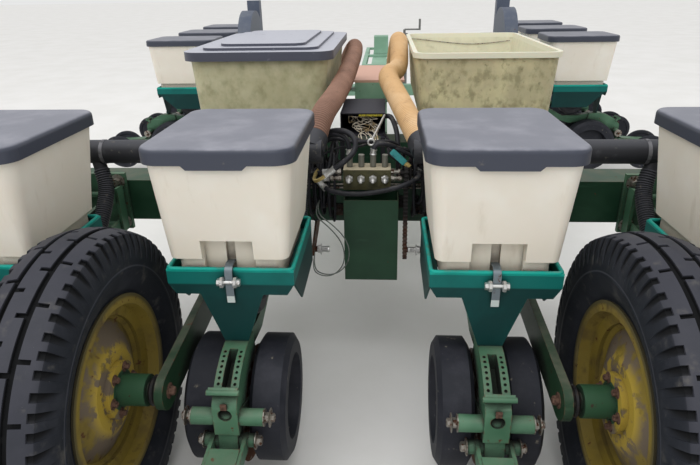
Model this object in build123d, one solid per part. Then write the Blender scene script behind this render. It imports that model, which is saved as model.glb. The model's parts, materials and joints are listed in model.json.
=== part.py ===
"""A drawn row crop planter with front-folding wings, folded for transport and parked on its jack.

Millimetres. X is to the right, Y forward along the tongue, Z up from the ground. Pieces are drawn about
the rear bar's centreline at Y = 0, and every file is written about the middle of the plan.
"""
import os
from math import atan2, degrees, hypot, radians, tan

from build123d import *

# Row layout
ROW_SPACING = 762.0
CENTRE_ROWS = 6
WING_ROWS = 3

# Toolbars
BAR = 178.0
BAR_WALL = 8.0
BAR_Z = 700.0
BAR_PAST_ROW = 285.0
DRAIN_HOLE_R = 12.0
TUBE_BEAM = 102.0
BEAM_WALL = 7.0
BEAM_X = 430.0

# Clearances
SEAT = 0.3
RUNNING_FIT = 0.05
STUB_FIT = 0.3
BEND_SHARE = 0.45

# Wing hinges
HINGE_X = 870.0
HINGE_Y = 630.0
HINGE_PIN_R = 32.0
HINGE_PIN_HEAD = 20.0
HINGE_EAR_R = 76.0
HINGE_EAR = 25.0
HINGE_EAR_LAP = 120.0
HINGE_ROOM = 112.0
KNUCKLE_R = 60.0
KNUCKLE_PLAY = 0.5
WING_TUBE_START = 170.0
WING_TONGUE = (96.0, 148.0)
FIRST_WING_ROW = 1797.0
WING_BAR_PAST_ROW = 330.0

# Tongue and hitch
TONGUE_WIDTH = 152.0
TONGUE_HEIGHT = 203.0
TONGUE_WALL = 8.0
TONGUE_END_Y = 5060.0
HITCH_Z = 520.0
HITCH_PIN_R = 16.5
HITCH_EAR = 22.0
HITCH_GAP = 76.0
HITCH_REACH = 170.0
HITCH_EAR_WIDTH = 110.0
HITCH_PLATE = 25.0
HITCH_PLATE_EDGE = 30.0
REST_Y = HINGE_Y + FIRST_WING_ROW + 1.5 * ROW_SPACING
REST_CLEAR = 8.0
SIDE_RAIL_X = (125.0, 165.0)
SIDE_RAIL_Y = (3320.0, 4950.0)
SIDE_RAIL_Z = (765.0, 825.0)
STRAP = 60.0
HOSE_BOX_X = (-62.0, 92.0)
HOSE_BOX_Y = (4200.0, 4400.0)
HOSE_BOX_TOP = 1010.0

# Air box on the tongue, behind the tanks
AIR_BOX_X = (-140.0, 180.0)
AIR_BOX_Y = (1560.0, 2320.0)
AIR_BOX_TOP = 948.0
AIR_BOX_LIP = 12.0
AIR_SHELF = (150.0, 160.0, 8.0)
AIR_SHELF_Z = 880.0

# Parking jack, whose foot swings up beside the rails
JACK_Y = 4480.0
JACK_TUBE_R = 38.0
JACK_LEG_R = 31.0
JACK_FOOT_R = 100.0
JACK_RAIL_CLEAR = 10.0
JACK_X = SIDE_RAIL_X[1] + JACK_RAIL_CLEAR + JACK_FOOT_R
JACK_FOOT = 12.0
JACK_TOP = 1020.0
JACK_TUBE_LOW = 260.0
JACK_PIN_R = 24.0
JACK_BOSS_R = 45.0
JACK_BOSS_PROUD = 5.5
JACK_BOSS_PAST = 20.0
JACK_BOSS_GAP = 0.5
JACK_SCREW_R = 14.0
JACK_SCREW_RISE = 40.0
JACK_CRANK = 170.0
JACK_CRANK_R = 9.0
JACK_GRIP_R = 12.0
JACK_GRIP = 110.0

# Transport wheels
TYRE_R = 472.5
TYRE_WIDTH = 210.0
TREAD_WIDTH = 180.0
SHOULDER_DROP = 18.0
RIM_R = 256.0
RIM_FLANGE_R = 280.0
RIM_WIDTH = 160.0
RIM_METAL = 7.0
RIM_WELL_R = 222.0
RIM_DISC_R = 112.0
RIM_DISC_X = -46.0
RIM_DISC = 8.0
WHEEL_Y = -1054.0
SPINDLE_R = 26.0
HUB_R = 46.0
HUB_FLANGE_R = 84.0
HUB_FLANGE = 18.0
HUB_INNER = 152.0
HUB_CAP_R = 40.0
WHEEL_ARM_IN = 185.0
WHEEL_ARM = 25.0
WHEEL_ARM_DEPTH = 110.0
WHEEL_ARM_FRONT = (-150.0, 545.0)
WHEEL_PAD = 90.0
WHEEL_PAD_LOW = 500.0

# Row unit, from the bar's centreline
HEAD = (220.0, 20.0, 250.0)
ARM_FRONT_Y = -145.0
ARM_REAR_Y = -487.0
ARM_DROP = 25.0
ARM_TOP_Z = 745.0
ARM_LOW_Z = 612.0
ARM = (12.0, 50.0)
ARM_X = 72.0
ARM_PIN_R = 11.0
ARM_BRACE_R = 17.0
CHEEK_PAST_PIN = 22.0
CHEEK_EDGE = 32.0
SHANK_HALF = 28.0
SHANK_TOP = 550.0
SADDLE_Z = 528.0
BLADE_HALF = 6.0
QUADRANT_HALF = 36.0
QUADRANT_SLOT_HALF = 13.0
QUADRANT_HOLES = 8
QUADRANT_HOLE_R = 4.5
QUADRANT_HOLE_X = 24.0
QUADRANT_HOLE_DEPTH = 8.0
STOP = (84.0, 14.0, 40.0)
STOP_WINDOW = (56.0, 12.0)
STOP_AT = (-1084.0, 497.0)
STOP_TILT = 38.0
REAR_HOLE_R = 20.0
REAR_HOLE_Z = 431.0
REAR_HOLE_DEPTH = 40.0
HANDLE_HALF = 78.0
HANDLE_R = 8.0

# Opener discs, gauge wheels and closing wheels of a row
DISC_R = 190.0
DISC_Y = -840.0
DISC_Z = 262.0
DISC_TOE = 2.5
DISC_PLATE = 4.0
DISC_BEVEL = 12.0
DISC_X = 17.0
DISC_AXLE_R = 12.0
DISC_AXLE_BOSS_R = 24.0
DISC_AXLE_PAST = 6.0
GAUGE_R = 203.0
GAUGE_WIDTH = 110.0
GAUGE_TREAD_EDGE = (14.0, 22.0)
GAUGE_Y = -850.0
GAUGE_Z = 300.0
GAUGE_IN = 45.0
GAUGE_ARM = (29.0, 39.0)
GAUGE_ARM_DEPTH = 52.0
GAUGE_PIVOT = (-1075.0, 402.0)
GAUGE_BOSS_R = 25.0
GAUGE_BOSS_X = 105.0
GAUGE_BOLT_R = 11.0
GAUGE_BOLT_X = 125.0
GAUGE_RIM_R = 138.0
GAUGE_HUB_R = 30.0
GAUGE_HUB = 84.0
GAUGE_DISC = 48.0
GAUGE_STUB_R = 11.0
CLOSE_PIVOT = (-1080.0, 320.0)
CLOSE_Y = -1350.0
CLOSE_Z = 245.0
CLOSE_X = 66.0
CLOSE_R = 152.0
CLOSE_WIDTH = 26.0
CLOSE_CAMBER = 14.0
CLOSE_STUB_R = 10.0
CLOSE_HUB_R = 24.0
CLOSE_ARM = (42.0, 53.0)
CLOSE_ARM_DEPTH = 44.0
CLOSE_ARM_RISE = 60.0
CLOSE_BOSS_R = 20.0
CLOSE_BOSS_X = 75.0
CLOSE_WEB = 8.0
CLOSE_WEB_START = 60.0

# Hopper, its support and its lid
RAIL_HALF = 187.0
RAIL_REAR = -910.0
RAIL_FRONT = -500.0
RAIL_LOW = 747.0
RAIL_TOP = 792.0
RAIL_LEDGE = 26.0
SHEET = 6.0
PANEL_BAND_Z = 712.0
PANEL_BAND_HALF = 165.0
PANEL_HALF = 93.0
SIDE_PANEL_LOW = 625.0
HOPPER_GAP = 2.0
HOPPER_LOW = 826.0
HOPPER_LOW_HALF = 173.0
HOPPER_LOW_CORNER = 26.0
FOOT_HALF = 153.0
FOOT_BACK = 14.0
FOOT_CORNER = 24.0
RECESS_HALF = 75.0
RECESS_TOP = 885.0
RECESS_DEPTH = 38.0
LATCH_SLOT_HALF = 13.5
LATCH_SLOT_TOP = 870.0
LATCH_SLOT_DEPTH = 20.0
LID_TOP = 1160.0
LID_SKIRT = 45.0
LID_SHEET = 12.0
LID_WALL = 8.0
LID_HALF = 211.5
LID_REAR = -950.0
LID_FRONT = -420.0
LID_CORNER = 60.0
LID_EDGE = 14.0
LID_LIP = (90.0, 75.0, 12.0)
METER_R = 104.0
METER_RIM_R = 90.0
METER_Z = 640.0
METER_Y = -700.0
METER_X = (-60.0, 30.0)
METER_FACE = 14.0
METER_NECK = (60.0, 55.0)
METER_FOOT = (20.0, 14.0)
PORT_R = 24.0
PORT_Y = -640.0
PORT_X = -130.0
PORT_Z = 690.0
PORT_END_Y = -578.0

# Liquid tanks
TANK_X = (203.0, 857.0)
TANK_Y = (350.0, 1440.0)
TANK_Z = (960.0, 1250.0)
TANK_DRAFT = 22.0
TANK_WALL = 9.0
TANK_CORNER = 60.0
TANK_RIM = 12.0
TANK_RIM_HEIGHT = 24.0
TRAY_RAIL = (50.0, 50.0)
TRAY_POST = 50.0
TRAY_X_IN = 60.0
TRAY_PAST_BAR = 30.0
TANK_LID = 14.0
TANK_LID_GAP = 8.0
TANK_LID_WALL = 6.0
TANK_LID_SKIRT = 40.0
TANK_LID_STEPS = ((50.0, 12.0), (120.0, 24.0))

# Vacuum system
PIPE_R = 45.0
PIPE_Y = -250.0
PIPE_Z = 960.0
PIPE_COLLAR = (4.0, 30.0)
DUCT_R = 48.0
DUCT_WALL_PLAY = 4.0
DUCT_STUB = 75.0
HOSE_R = 25.0
HOSE_ROUTE = ((-85.0, -250.0, 940.0), (-125.0, -290.0, 820.0), (-130.0, -440.0, 690.0))
PIPE_BRACKET_OUT = 190.0
PIPE_BRACKET = 20.0
PIPE_COUPLER_OUT = 306.0
FAN_R = 215.0
FAN_WIDTH = 86.0
FAN_ALONG = 1150.0
FAN_Z = 1170.0
FAN_OUTLET = (70.0, 60.0)
FAN_STAND = (120.0, 50.0)
FAN_MOTOR_R = 55.0
FAN_MOTOR = 120.0

# Meter drive and guard in the middle
GUARD_X = (-100.0, 121.0)
GUARD_Y = -200.0
GUARD_Z = (384.0, 745.0)
GUARD_SHEET = 4.0
SHAFT_HEX = 22.0
SHAFT_Y = -200.0
SHAFT_Z = 527.0
SHAFT_X = (165.0, 540.0)
HANGER_IN = 60.0
HANGER = 8.0
HANGER_EDGE = 30.0
CHAIN_X = (143.0, 157.0)
CHAIN_TOP = (-165.0, 850.0)
CHAIN_R = 36.0
CHAIN_DEPTH = 12.0
CHAIN_SHAFT_X = (126.0, 176.0)
CHAIN_PLATE_X = (162.0, 170.0)
CHAIN_PLATE_EDGE = 28.0

# Hydraulic valve block
VALVE_X = (-99.0, 89.0)
VALVE_Y = (-200.0, -105.0)
VALVE_Z = (796.0, 871.0)
VALVES = 4
PLUG_R = 10.0
PLUG = 15.0
CARTRIDGE_R = 12.0
CARTRIDGE = 50.0
VALVE_PLATE_GAP = 5.0
HOSE_POST_X = (192.0, 218.0)
HOSE_POST_Y = (-84.0, -56.0)
HOSE_POST_TOP = 860.0
HYDRAULIC_R = 10.0
FITTING_R = 14.0
FITTING = 26.0

# Wiring box
WIRING_X = (-130.0, 66.0)
WIRING_Y = (110.0, 450.0)
WIRING_Z = (930.0, 1030.0)
WIRING_WALL = 4.0
WIRING_POST = 20.0

CENTRE_ROW_XS = [(i - (CENTRE_ROWS - 1) / 2) * ROW_SPACING for i in range(CENTRE_ROWS)]
WING_ROW_OUTS = [FIRST_WING_ROW + i * ROW_SPACING for i in range(WING_ROWS)]
WHEEL_OUTS = [ROW_SPACING, 2 * ROW_SPACING]
BAR_HALF = CENTRE_ROW_XS[-1] + BAR_PAST_ROW
WING_BAR_END = WING_ROW_OUTS[-1] + WING_BAR_PAST_ROW
BAR_TOP = BAR_Z + BAR / 2
BAR_LOW = BAR_Z - BAR / 2
PIPE_INNER_X = TANK_X[0] + 15.0

REAR_END = WHEEL_Y - TYRE_R
FRONT_END = TONGUE_END_Y + HITCH_PLATE + HITCH_REACH
MID_Y = (REAR_END + FRONT_END) / 2

# Routes of the two air ducts after their stubs: from the pipe's stub over the gap between the tanks
DUCT_LEFT = ((-190, -90, 1065), (-160, 150, 1085), (-136, 450, 1112), (-127, 900, 1138), (-122, 1250, 1158),
             (-130, 1490, 1185), (-180, 1600, 1110), (-215, 1650, 1000), (-215, 1650, AIR_SHELF_Z + SEAT))
DUCT_RIGHT = ((150, 20, 1050), (110, 260, 1090), (66, 500, 1135), (134, 690, 1130), (138, 850, 1212),
              (137, 1030, 1262), (126, 1220, 1180), (110, 1370, 1000), (105, 1470, 890),
              (105, AIR_BOX_Y[0] - SEAT, 890))

# Routes of the hydraulic hoses: one crosses behind the bar, two rise from cartridges of the valve block
HOSE_SEAT_Z = HOSE_POST_TOP + SEAT
HOSE_POST_REAR = HOSE_POST_Y[0] - SEAT
VALVE_MIDDLE_Y = sum(VALVE_Y) / 2
CARTRIDGE_XS = [VALVE_X[0] + (VALVE_X[1] - VALVE_X[0]) * (i + 0.5) / VALVES for i in range(VALVES)]
CARTRIDGE_SEAT = VALVE_Z[1] + CARTRIDGE + SEAT
HOSES = (
    ((-205, HOSE_POST_REAR, 812), (-205, -180, 812), (-145, -232, 790), (-40, -240, 783), (60, -240, 798),
     (145, -238, 822), (205, -195, 840), (205, HOSE_POST_REAR, 840)),
    ((CARTRIDGE_XS[0], VALVE_MIDDLE_Y, CARTRIDGE_SEAT), (CARTRIDGE_XS[0], VALVE_MIDDLE_Y, 982),
     (-125, -130, 1003), (-180, -95, 975), (-205, -70, 925), (-205, -70, HOSE_SEAT_Z)),
    ((CARTRIDGE_XS[2], VALVE_MIDDLE_Y, CARTRIDGE_SEAT), (CARTRIDGE_XS[2], VALVE_MIDDLE_Y, 962),
     (75, -140, 962), (135, -110, 925), (205, -70, 915), (205, -70, HOSE_SEAT_Z)),
)


def box(x, y, z):
    """A box from the low and high value on each axis."""
    size = (x[1] - x[0], y[1] - y[0], z[1] - z[0])
    return Pos((x[0] + x[1]) / 2, (y[0] + y[1]) / 2, (z[0] + z[1]) / 2) * Box(*size)


def across(x, y, z, radius):
    """A round bar along X between two values of x, in either order."""
    return Pos((x[0] + x[1]) / 2, y, z) * Rot(0, 90, 0) * Cylinder(radius, abs(x[1] - x[0]))


def along(x, y, z, radius):
    """A round bar along Y between two values of y."""
    return Pos(x, (y[0] + y[1]) / 2, z) * Rot(90, 0, 0) * Cylinder(radius, y[1] - y[0])


def upright(x, y, z, radius):
    """A round bar along Z between two values of z."""
    return Pos(x, y, (z[0] + z[1]) / 2) * Cylinder(radius, z[1] - z[0])


def plate(outline, x):
    """A plate between two values of x. The outline is points, or a closed curve, in the Y-Z plane."""
    curve = Polyline(*outline, close=True) if isinstance(outline, (list, tuple)) else outline
    return Pos(min(x), 0, 0) * extrude(Plane.YZ * make_face(curve), abs(x[1] - x[0]))


def link(start, end, depth, x):
    """A round-ended bar between two points of the Y-Z plane."""
    length = hypot(end[0] - start[0], end[1] - start[1])
    angle = degrees(atan2(end[1] - start[1], end[0] - start[0]))
    slot = Pos(*start) * Rot(0, 0, angle) * Pos(length / 2, 0) * SlotCenterToCenter(length, depth)
    return Pos(x[0], 0, 0) * extrude(Plane.YZ * slot, x[1] - x[0])


def round_rect(x, y, z, corner):
    """A rounded rectangle lying flat at height z."""
    centre = Pos((x[0] + x[1]) / 2, (y[0] + y[1]) / 2, z)
    return centre * RectangleRounded(x[1] - x[0], y[1] - y[0], corner)


def grown(span, amount):
    """A low and a high value moved apart by an amount on each side."""
    return (span[0] - amount, span[1] + amount)


def both(x):
    """The same pair of x values on the right and on the left."""
    return [(x[0], x[1]), (-x[1], -x[0])]


def square_tube(x, y, z, size, wall):
    """A square tube along X with capped ends that have drain holes."""
    half = size / 2
    tube = box(x, (y - half, y + half), (z - half, z + half))
    bore = box(grown(x, -wall), (y - half + wall, y + half - wall), (z - half + wall, z + half - wall))
    return tube - bore - across(grown(x, 1), y, z, DRAIN_HOLE_R)


def spin_x(points, x=0.0, y=0.0, z=0.0):
    """A solid turned about a line along X. Points are (along X, radius)."""
    curve = Polyline(*points, close=True) if isinstance(points, list) else points
    return Pos(x, y, z) * revolve(make_face(curve), Axis.X)


def route(points, tube_r):
    """A round tube along straight runs joined by tangent arcs, each as large as its two runs allow."""
    corners = [Vector(*point) for point in points]
    runs = [b - a for a, b in zip(corners, corners[1:])]
    radii = []
    for a, b in zip(runs, runs[1:]):
        radii.append(BEND_SHARE * min(a.length, b.length) / tan(radians(a.get_angle(b)) / 2))
    path = FilletPolyline(*points, radius=radii)
    return sweep(Plane(origin=corners[0], z_dir=runs[0]) * Circle(tube_r), path)


def reach(start, towards, distance):
    """The point at a distance from the start, on the way to another point."""
    way = Vector(*towards) - Vector(*start)
    return tuple(Vector(*start) + way.normalized() * distance)


# Row unit

def quadrant_curve():
    """The curved rear edge of the depth quadrant, in the Y-Z plane."""
    return ThreePointArc((-918, SHANK_TOP - SEAT), (-1028, 519), (-1100, 462))


def shank():
    """Cast shank with its front post, saddle, furrow blade and rear block with the depth quadrant."""
    web = [(-455, RAIL_LOW - SEAT), (-520, RAIL_LOW - SEAT), (-530, 585), (-640, SADDLE_Z), (-760, SADDLE_Z),
           (-860, 545), (-930, 540), (-1090, 420), (-1106, 300), (-1092, 252), (-1052, 240), (-1047, 300),
           (-1015, 392), (-960, 452), (-840, 482), (-700, 466), (-455, 540)]
    body = plate(web, (-SHANK_HALF, SHANK_HALF))
    curve = quadrant_curve()
    rest = Polyline(curve @ 1, (-1105, 450), (-1105, 360), (-1030, 360), (-1015, 392), (-960, 452),
                    (-840, 482), (-850, 546), curve @ 0)
    body += plate(curve + rest, (-QUADRANT_HALF, QUADRANT_HALF))
    slot = [(-948, 600), (-1063, 600), (-1063, 455), (-1000, 470), (-948, 495)]
    body -= plate(slot, (-QUADRANT_SLOT_HALF, QUADRANT_SLOT_HALF))
    for i in range(QUADRANT_HOLES):
        share = 0.2 + 0.6 * i / (QUADRANT_HOLES - 1)
        spot = curve @ share
        way = curve % share
        normal = (0, way.Y, -way.X)
        for x in (-QUADRANT_HOLE_X, QUADRANT_HOLE_X):
            drill = Cylinder(QUADRANT_HOLE_R, 2 * QUADRANT_HOLE_DEPTH)
            body -= Plane(origin=(x, spot.X, spot.Y), z_dir=normal) * drill
    stop = Box(*STOP) - Box(STOP_WINDOW[0], 2 * STOP[1], STOP_WINDOW[1])
    body += Pos(0, *STOP_AT) * Rot(STOP_TILT, 0, 0) * stop
    body -= along(0, (-1106, -1105 + REAR_HOLE_DEPTH), REAR_HOLE_Z, REAR_HOLE_R)
    blade = [(-960, 470), (-985, 380), (-905, 222), (-790, 222), (-750, 480)]
    body += plate(blade, (-BLADE_HALF, BLADE_HALF))
    return body + across((-HANDLE_HALF, HANDLE_HALF), STOP_AT[0] - STOP[1], STOP_AT[1] + HANDLE_R, HANDLE_R)


def arms_and_head():
    """Mounting head on the bar with cheeks, and the two pairs of parallel arms."""
    head_y = (-BAR / 2 - SEAT - HEAD[1], -BAR / 2 - SEAT)
    body = box((-HEAD[0] / 2, HEAD[0] / 2), head_y, grown((BAR_Z, BAR_Z), HEAD[2] / 2))
    for x in both((ARM_X + ARM[0], ARM_X + 2 * ARM[0])):
        cheek_z = grown((ARM_LOW_Z, ARM_TOP_Z), CHEEK_EDGE)
        body += box(x, (ARM_FRONT_Y - CHEEK_PAST_PIN, head_y[1]), cheek_z)
    pin_end = ARM_X + 2 * ARM[0]
    for z in (ARM_TOP_Z, ARM_LOW_Z):
        for x in both((ARM_X, ARM_X + ARM[0])):
            body += link((ARM_FRONT_Y, z), (ARM_REAR_Y, z - ARM_DROP), ARM[1], x)
        body += across((-pin_end, pin_end), ARM_FRONT_Y, z, ARM_PIN_R)
        body += across((-pin_end, pin_end), ARM_REAR_Y, z - ARM_DROP, ARM_PIN_R)
        middle = ((ARM_FRONT_Y + ARM_REAR_Y) / 2, z - ARM_DROP / 2)
        body += across((-ARM_X, ARM_X), *middle, ARM_BRACE_R)
    return body


def wheel_carriers():
    """Disc axle, gauge-wheel arms with their pivot bosses, and the closing arm with its wheel stubs."""
    disc_in = DISC_X - DISC_PLATE
    body = across((-disc_in, disc_in), DISC_Y, DISC_Z, DISC_AXLE_BOSS_R)
    disc_out = DISC_X + DISC_AXLE_PAST
    body += across((-disc_out, disc_out), DISC_Y, DISC_Z, DISC_AXLE_R)
    for x in both(GAUGE_ARM):
        body += link(GAUGE_PIVOT, (GAUGE_Y, GAUGE_Z), GAUGE_ARM_DEPTH, x)
    body += across((-GAUGE_BOSS_X, GAUGE_BOSS_X), *GAUGE_PIVOT, GAUGE_BOSS_R)
    body += across((-GAUGE_BOLT_X, GAUGE_BOLT_X), *GAUGE_PIVOT, GAUGE_BOLT_R)
    for x in both((GAUGE_ARM[0], GAUGE_IN + GAUGE_HUB)):
        body += across(x, GAUGE_Y, GAUGE_Z, GAUGE_STUB_R)
    stub_z = CLOSE_Z + CLOSE_ARM_RISE
    for x in both(CLOSE_ARM):
        body += link(CLOSE_PIVOT, (CLOSE_Y, stub_z), CLOSE_ARM_DEPTH, x)
    edge = CLOSE_ARM_DEPTH / 2 - CLOSE_WEB
    web_y = CLOSE_PIVOT[0] - CLOSE_WEB_START
    web_z = CLOSE_PIVOT[1] + edge
    web_end = stub_z + edge
    web = [(web_y, web_z), (CLOSE_Y, web_end), (CLOSE_Y, web_end + CLOSE_WEB), (web_y, web_z + CLOSE_WEB)]
    body += plate(web, (-CLOSE_ARM[0] - 1, CLOSE_ARM[0] + 1))
    body += across((-CLOSE_BOSS_X, CLOSE_BOSS_X), *CLOSE_PIVOT, CLOSE_BOSS_R)
    body += across((-CLOSE_ARM[1], CLOSE_ARM[1]), CLOSE_Y, stub_z, CLOSE_BOSS_R)
    body += box((-CLOSE_STUB_R - 4, CLOSE_STUB_R + 4), grown((CLOSE_Y, CLOSE_Y), 16), (CLOSE_Z - 18, stub_z))
    stub = Pos(0, CLOSE_Y, CLOSE_Z) * Rot(0, CLOSE_CAMBER, 0) * across((0, CLOSE_X + 22), 0, 0, CLOSE_STUB_R)
    return body + stub + mirror(stub, Plane.YZ)


def row_frame():
    """The carrying parts of one row, from the mounting head to the closing arm."""
    return arms_and_head() + shank() + wheel_carriers()


def hopper_support():
    """Folded sheet rail that the hopper drops into, with its ledge and its rear, front and side panels."""
    rail = box((-RAIL_HALF, RAIL_HALF), (RAIL_REAR, RAIL_FRONT), (RAIL_LOW, RAIL_TOP))
    inner_x = RAIL_HALF - SHEET
    inner_y = (RAIL_REAR + SHEET, RAIL_FRONT - SHEET)
    rail -= box((-inner_x, inner_x), inner_y, (RAIL_LOW + SHEET, RAIL_TOP + 1))
    mouth_x = inner_x - RAIL_LEDGE
    rail -= box((-mouth_x, mouth_x), grown(inner_y, -RAIL_LEDGE), (RAIL_LOW - 1, RAIL_TOP))
    right = [(RAIL_HALF, RAIL_LOW), (PANEL_BAND_HALF, PANEL_BAND_Z), (PANEL_HALF, PANEL_BAND_Z),
             (QUADRANT_HALF, SHANK_TOP + SEAT)]
    outline = right + [(-x, z) for x, z in reversed(right)]
    panel = Plane.XZ * make_face(Polyline(*outline, close=True))
    rail += Pos(0, RAIL_REAR + SHEET, 0) * extrude(panel, SHEET)
    side = [(RAIL_FRONT, RAIL_LOW), (RAIL_REAR + SHEET, RAIL_LOW), (RAIL_REAR + 140, SIDE_PANEL_LOW),
            (RAIL_FRONT, SIDE_PANEL_LOW)]
    for x in both((RAIL_HALF - SHEET, RAIL_HALF)):
        rail += plate(side, x)
    return rail


def seed_hopper():
    """Tapered hopper on two feet in the rail, with a recess and a latch slot in its rear."""
    foot_y = (RAIL_REAR + SHEET + FOOT_BACK, RAIL_FRONT - SHEET - HOPPER_GAP)
    foot_z = RAIL_LOW + SHEET + SEAT
    feet = extrude(round_rect((-FOOT_HALF, FOOT_HALF), foot_y, foot_z, FOOT_CORNER), HOPPER_LOW - foot_z + 1)
    low_y = (RAIL_REAR + HOPPER_GAP, RAIL_FRONT - HOPPER_GAP)
    low = round_rect((-HOPPER_LOW_HALF, HOPPER_LOW_HALF), low_y, HOPPER_LOW, HOPPER_LOW_CORNER)
    top_half = LID_HALF - LID_WALL - HOPPER_GAP
    top_y = grown((LID_REAR, LID_FRONT), -LID_WALL - HOPPER_GAP)
    top_corner = LID_CORNER - LID_WALL - HOPPER_GAP
    high = round_rect((-top_half, top_half), top_y, LID_TOP - LID_SHEET - SEAT, top_corner)
    body = feet + loft([low, high])
    wall = RAIL_REAR - LID_CORNER
    body -= box((-RECESS_HALF, RECESS_HALF), (wall, RAIL_REAR + RECESS_DEPTH), (RAIL_LOW, RECESS_TOP))
    slot_y = (wall, RAIL_REAR + RECESS_DEPTH + LATCH_SLOT_DEPTH)
    return body - box((-LATCH_SLOT_HALF, LATCH_SLOT_HALF), slot_y, (RAIL_LOW, LATCH_SLOT_TOP))


def hopper_lid():
    """Overhanging moulded lid with a skirt that dips in the middle of its rear."""
    skirt_z = LID_TOP - LID_SKIRT
    skirt = round_rect((-LID_HALF, LID_HALF), (LID_REAR, LID_FRONT), skirt_z, LID_CORNER)
    shell = extrude(skirt, LID_SKIRT)
    shell = fillet(shell.edges().group_by(Axis.Z)[-1], LID_EDGE)
    inner = LID_HALF - LID_WALL
    inner_y = grown((LID_REAR, LID_FRONT), -LID_WALL)
    hollow = round_rect((-inner, inner), inner_y, skirt_z, LID_CORNER - LID_WALL)
    shell -= extrude(hollow, LID_SKIRT - LID_SHEET)
    top, low, depth = LID_LIP
    outline = [(-top, skirt_z + 2), (top, skirt_z + 2), (low, skirt_z - depth), (-low, skirt_z - depth)]
    lip = Plane.XZ * make_face(Polyline(*outline, close=True))
    return shell + Pos(0, LID_REAR + LID_WALL, 0) * extrude(lip, LID_WALL)


def seed_meter():
    """Vacuum seed meter between hopper and shank, with the elbow port of its hose."""
    low, high = METER_X
    face = low + METER_FACE
    profile = [(low, 0), (low, METER_RIM_R - 40), (face, METER_RIM_R - 30), (face, METER_RIM_R),
               (face + METER_FACE, METER_R), (high - METER_FACE, METER_R), (high, METER_RIM_R), (high, 0)]
    meter = spin_x(profile, 0, METER_Y, METER_Z)
    neck_x, neck_y = METER_NECK
    neck_top = RAIL_LOW + SHEET
    meter += box((-neck_x, neck_x), grown((METER_Y, METER_Y), neck_y), (METER_Z + 60, neck_top))
    foot_x, foot_y = METER_FOOT
    meter += box((-foot_x, foot_x), grown((METER_Y, METER_Y), foot_y), (SADDLE_Z + SEAT, METER_Z))
    elbow = ((face + 1, PORT_Y, PORT_Z), (PORT_X, PORT_Y, PORT_Z), (PORT_X, PORT_END_Y, PORT_Z))
    return meter + route(elbow, PORT_R)


def opener_discs():
    """The pair of opener discs, each toed in to the front."""
    edge = DISC_R - DISC_BEVEL
    half = DISC_PLATE / 2
    bore = DISC_AXLE_R + STUB_FIT
    disc = spin_x([(-half, bore), (-half, edge), (0, DISC_R), (half, edge), (half, bore)])
    return [Pos(side * DISC_X, DISC_Y, DISC_Z) * Rot(0, 0, -side * DISC_TOE) * disc for side in (1, -1)]


def gauge_wheels():
    """The pair of gauge wheels beside the discs: rubber tyre on a dished disc with its hub."""
    width = GAUGE_WIDTH
    bore = GAUGE_STUB_R + RUNNING_FIT
    edge_x, edge_r = GAUGE_TREAD_EDGE
    inner = GAUGE_RIM_R - 8
    shoulder = GAUGE_R - edge_r
    profile = [(0, GAUGE_RIM_R), (0, shoulder), (edge_x, GAUGE_R), (width - edge_x, GAUGE_R),
               (width, shoulder), (width, GAUGE_RIM_R), (GAUGE_DISC + 16, inner), (GAUGE_HUB - 8, GAUGE_HUB_R),
               (GAUGE_HUB, GAUGE_HUB_R), (GAUGE_HUB, bore), (4, bore), (4, GAUGE_HUB_R),
               (GAUGE_HUB - 20, GAUGE_HUB_R), (GAUGE_DISC, inner)]
    right = spin_x(profile, GAUGE_IN, GAUGE_Y, GAUGE_Z)
    return [right, mirror(right, Plane.YZ)]


def closing_wheels():
    """The pair of narrow closing wheels, closer at the ground."""
    half = CLOSE_WIDTH / 2
    hub = half + 3
    bore = CLOSE_STUB_R + STUB_FIT
    profile = [(-half, CLOSE_R - 26), (-half, CLOSE_R - 8), (-half + 8, CLOSE_R), (half - 8, CLOSE_R),
               (half, CLOSE_R - 8), (half, CLOSE_R - 26), (5, CLOSE_R - 30), (5, CLOSE_HUB_R),
               (hub, CLOSE_HUB_R), (hub, bore), (-hub, bore), (-hub, CLOSE_HUB_R), (-5, CLOSE_HUB_R),
               (-5, CLOSE_R - 30)]
    right = Pos(0, CLOSE_Y, CLOSE_Z) * Rot(0, CLOSE_CAMBER, 0) * Pos(CLOSE_X, 0, 0) * spin_x(profile)
    return [right, mirror(right, Plane.YZ)]


# Centre frame

def rear_bar():
    """Main toolbar behind the frame."""
    return square_tube((-BAR_HALF, BAR_HALF), 0, BAR_Z, BAR, BAR_WALL)


def centre_frame():
    """Cross beam with the hinge ears and pins, side beams, tank stands and the guard."""
    half = BAR / 2
    cross_end = HINGE_X - HINGE_ROOM
    cross = square_tube((-cross_end, cross_end), HINGE_Y, BAR_Z, BAR, BAR_WALL)
    pieces = [guard()]
    for side in (1, -1):
        for low in (BAR_TOP, BAR_LOW - HINGE_EAR):
            z = (low, low + HINGE_EAR)
            ear_x = sorted((side * (cross_end - HINGE_EAR_LAP), side * HINGE_X))
            cross += box(ear_x, grown((HINGE_Y, HINGE_Y), HINGE_EAR_R), z)
            cross += upright(side * HINGE_X, HINGE_Y, z, HINGE_EAR_R)
        pin_z = grown((BAR_LOW, BAR_TOP), HINGE_EAR + HINGE_PIN_HEAD)
        cross += upright(side * HINGE_X, HINGE_Y, pin_z, HINGE_PIN_R)
        x = side * BEAM_X
        beam_y = (half + SEAT, HINGE_Y - half - SEAT)
        beam_half = TUBE_BEAM / 2
        inner_half = beam_half - BEAM_WALL
        beam = box(grown((x, x), beam_half), beam_y, grown((BAR_Z, BAR_Z), beam_half))
        pieces.append(beam - box(grown((x, x), inner_half), beam_y, grown((BAR_Z, BAR_Z), inner_half)))
        pieces += [piece if side > 0 else mirror(piece, Plane.YZ) for piece in tank_stand()]
    return pieces + [cross]


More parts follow.
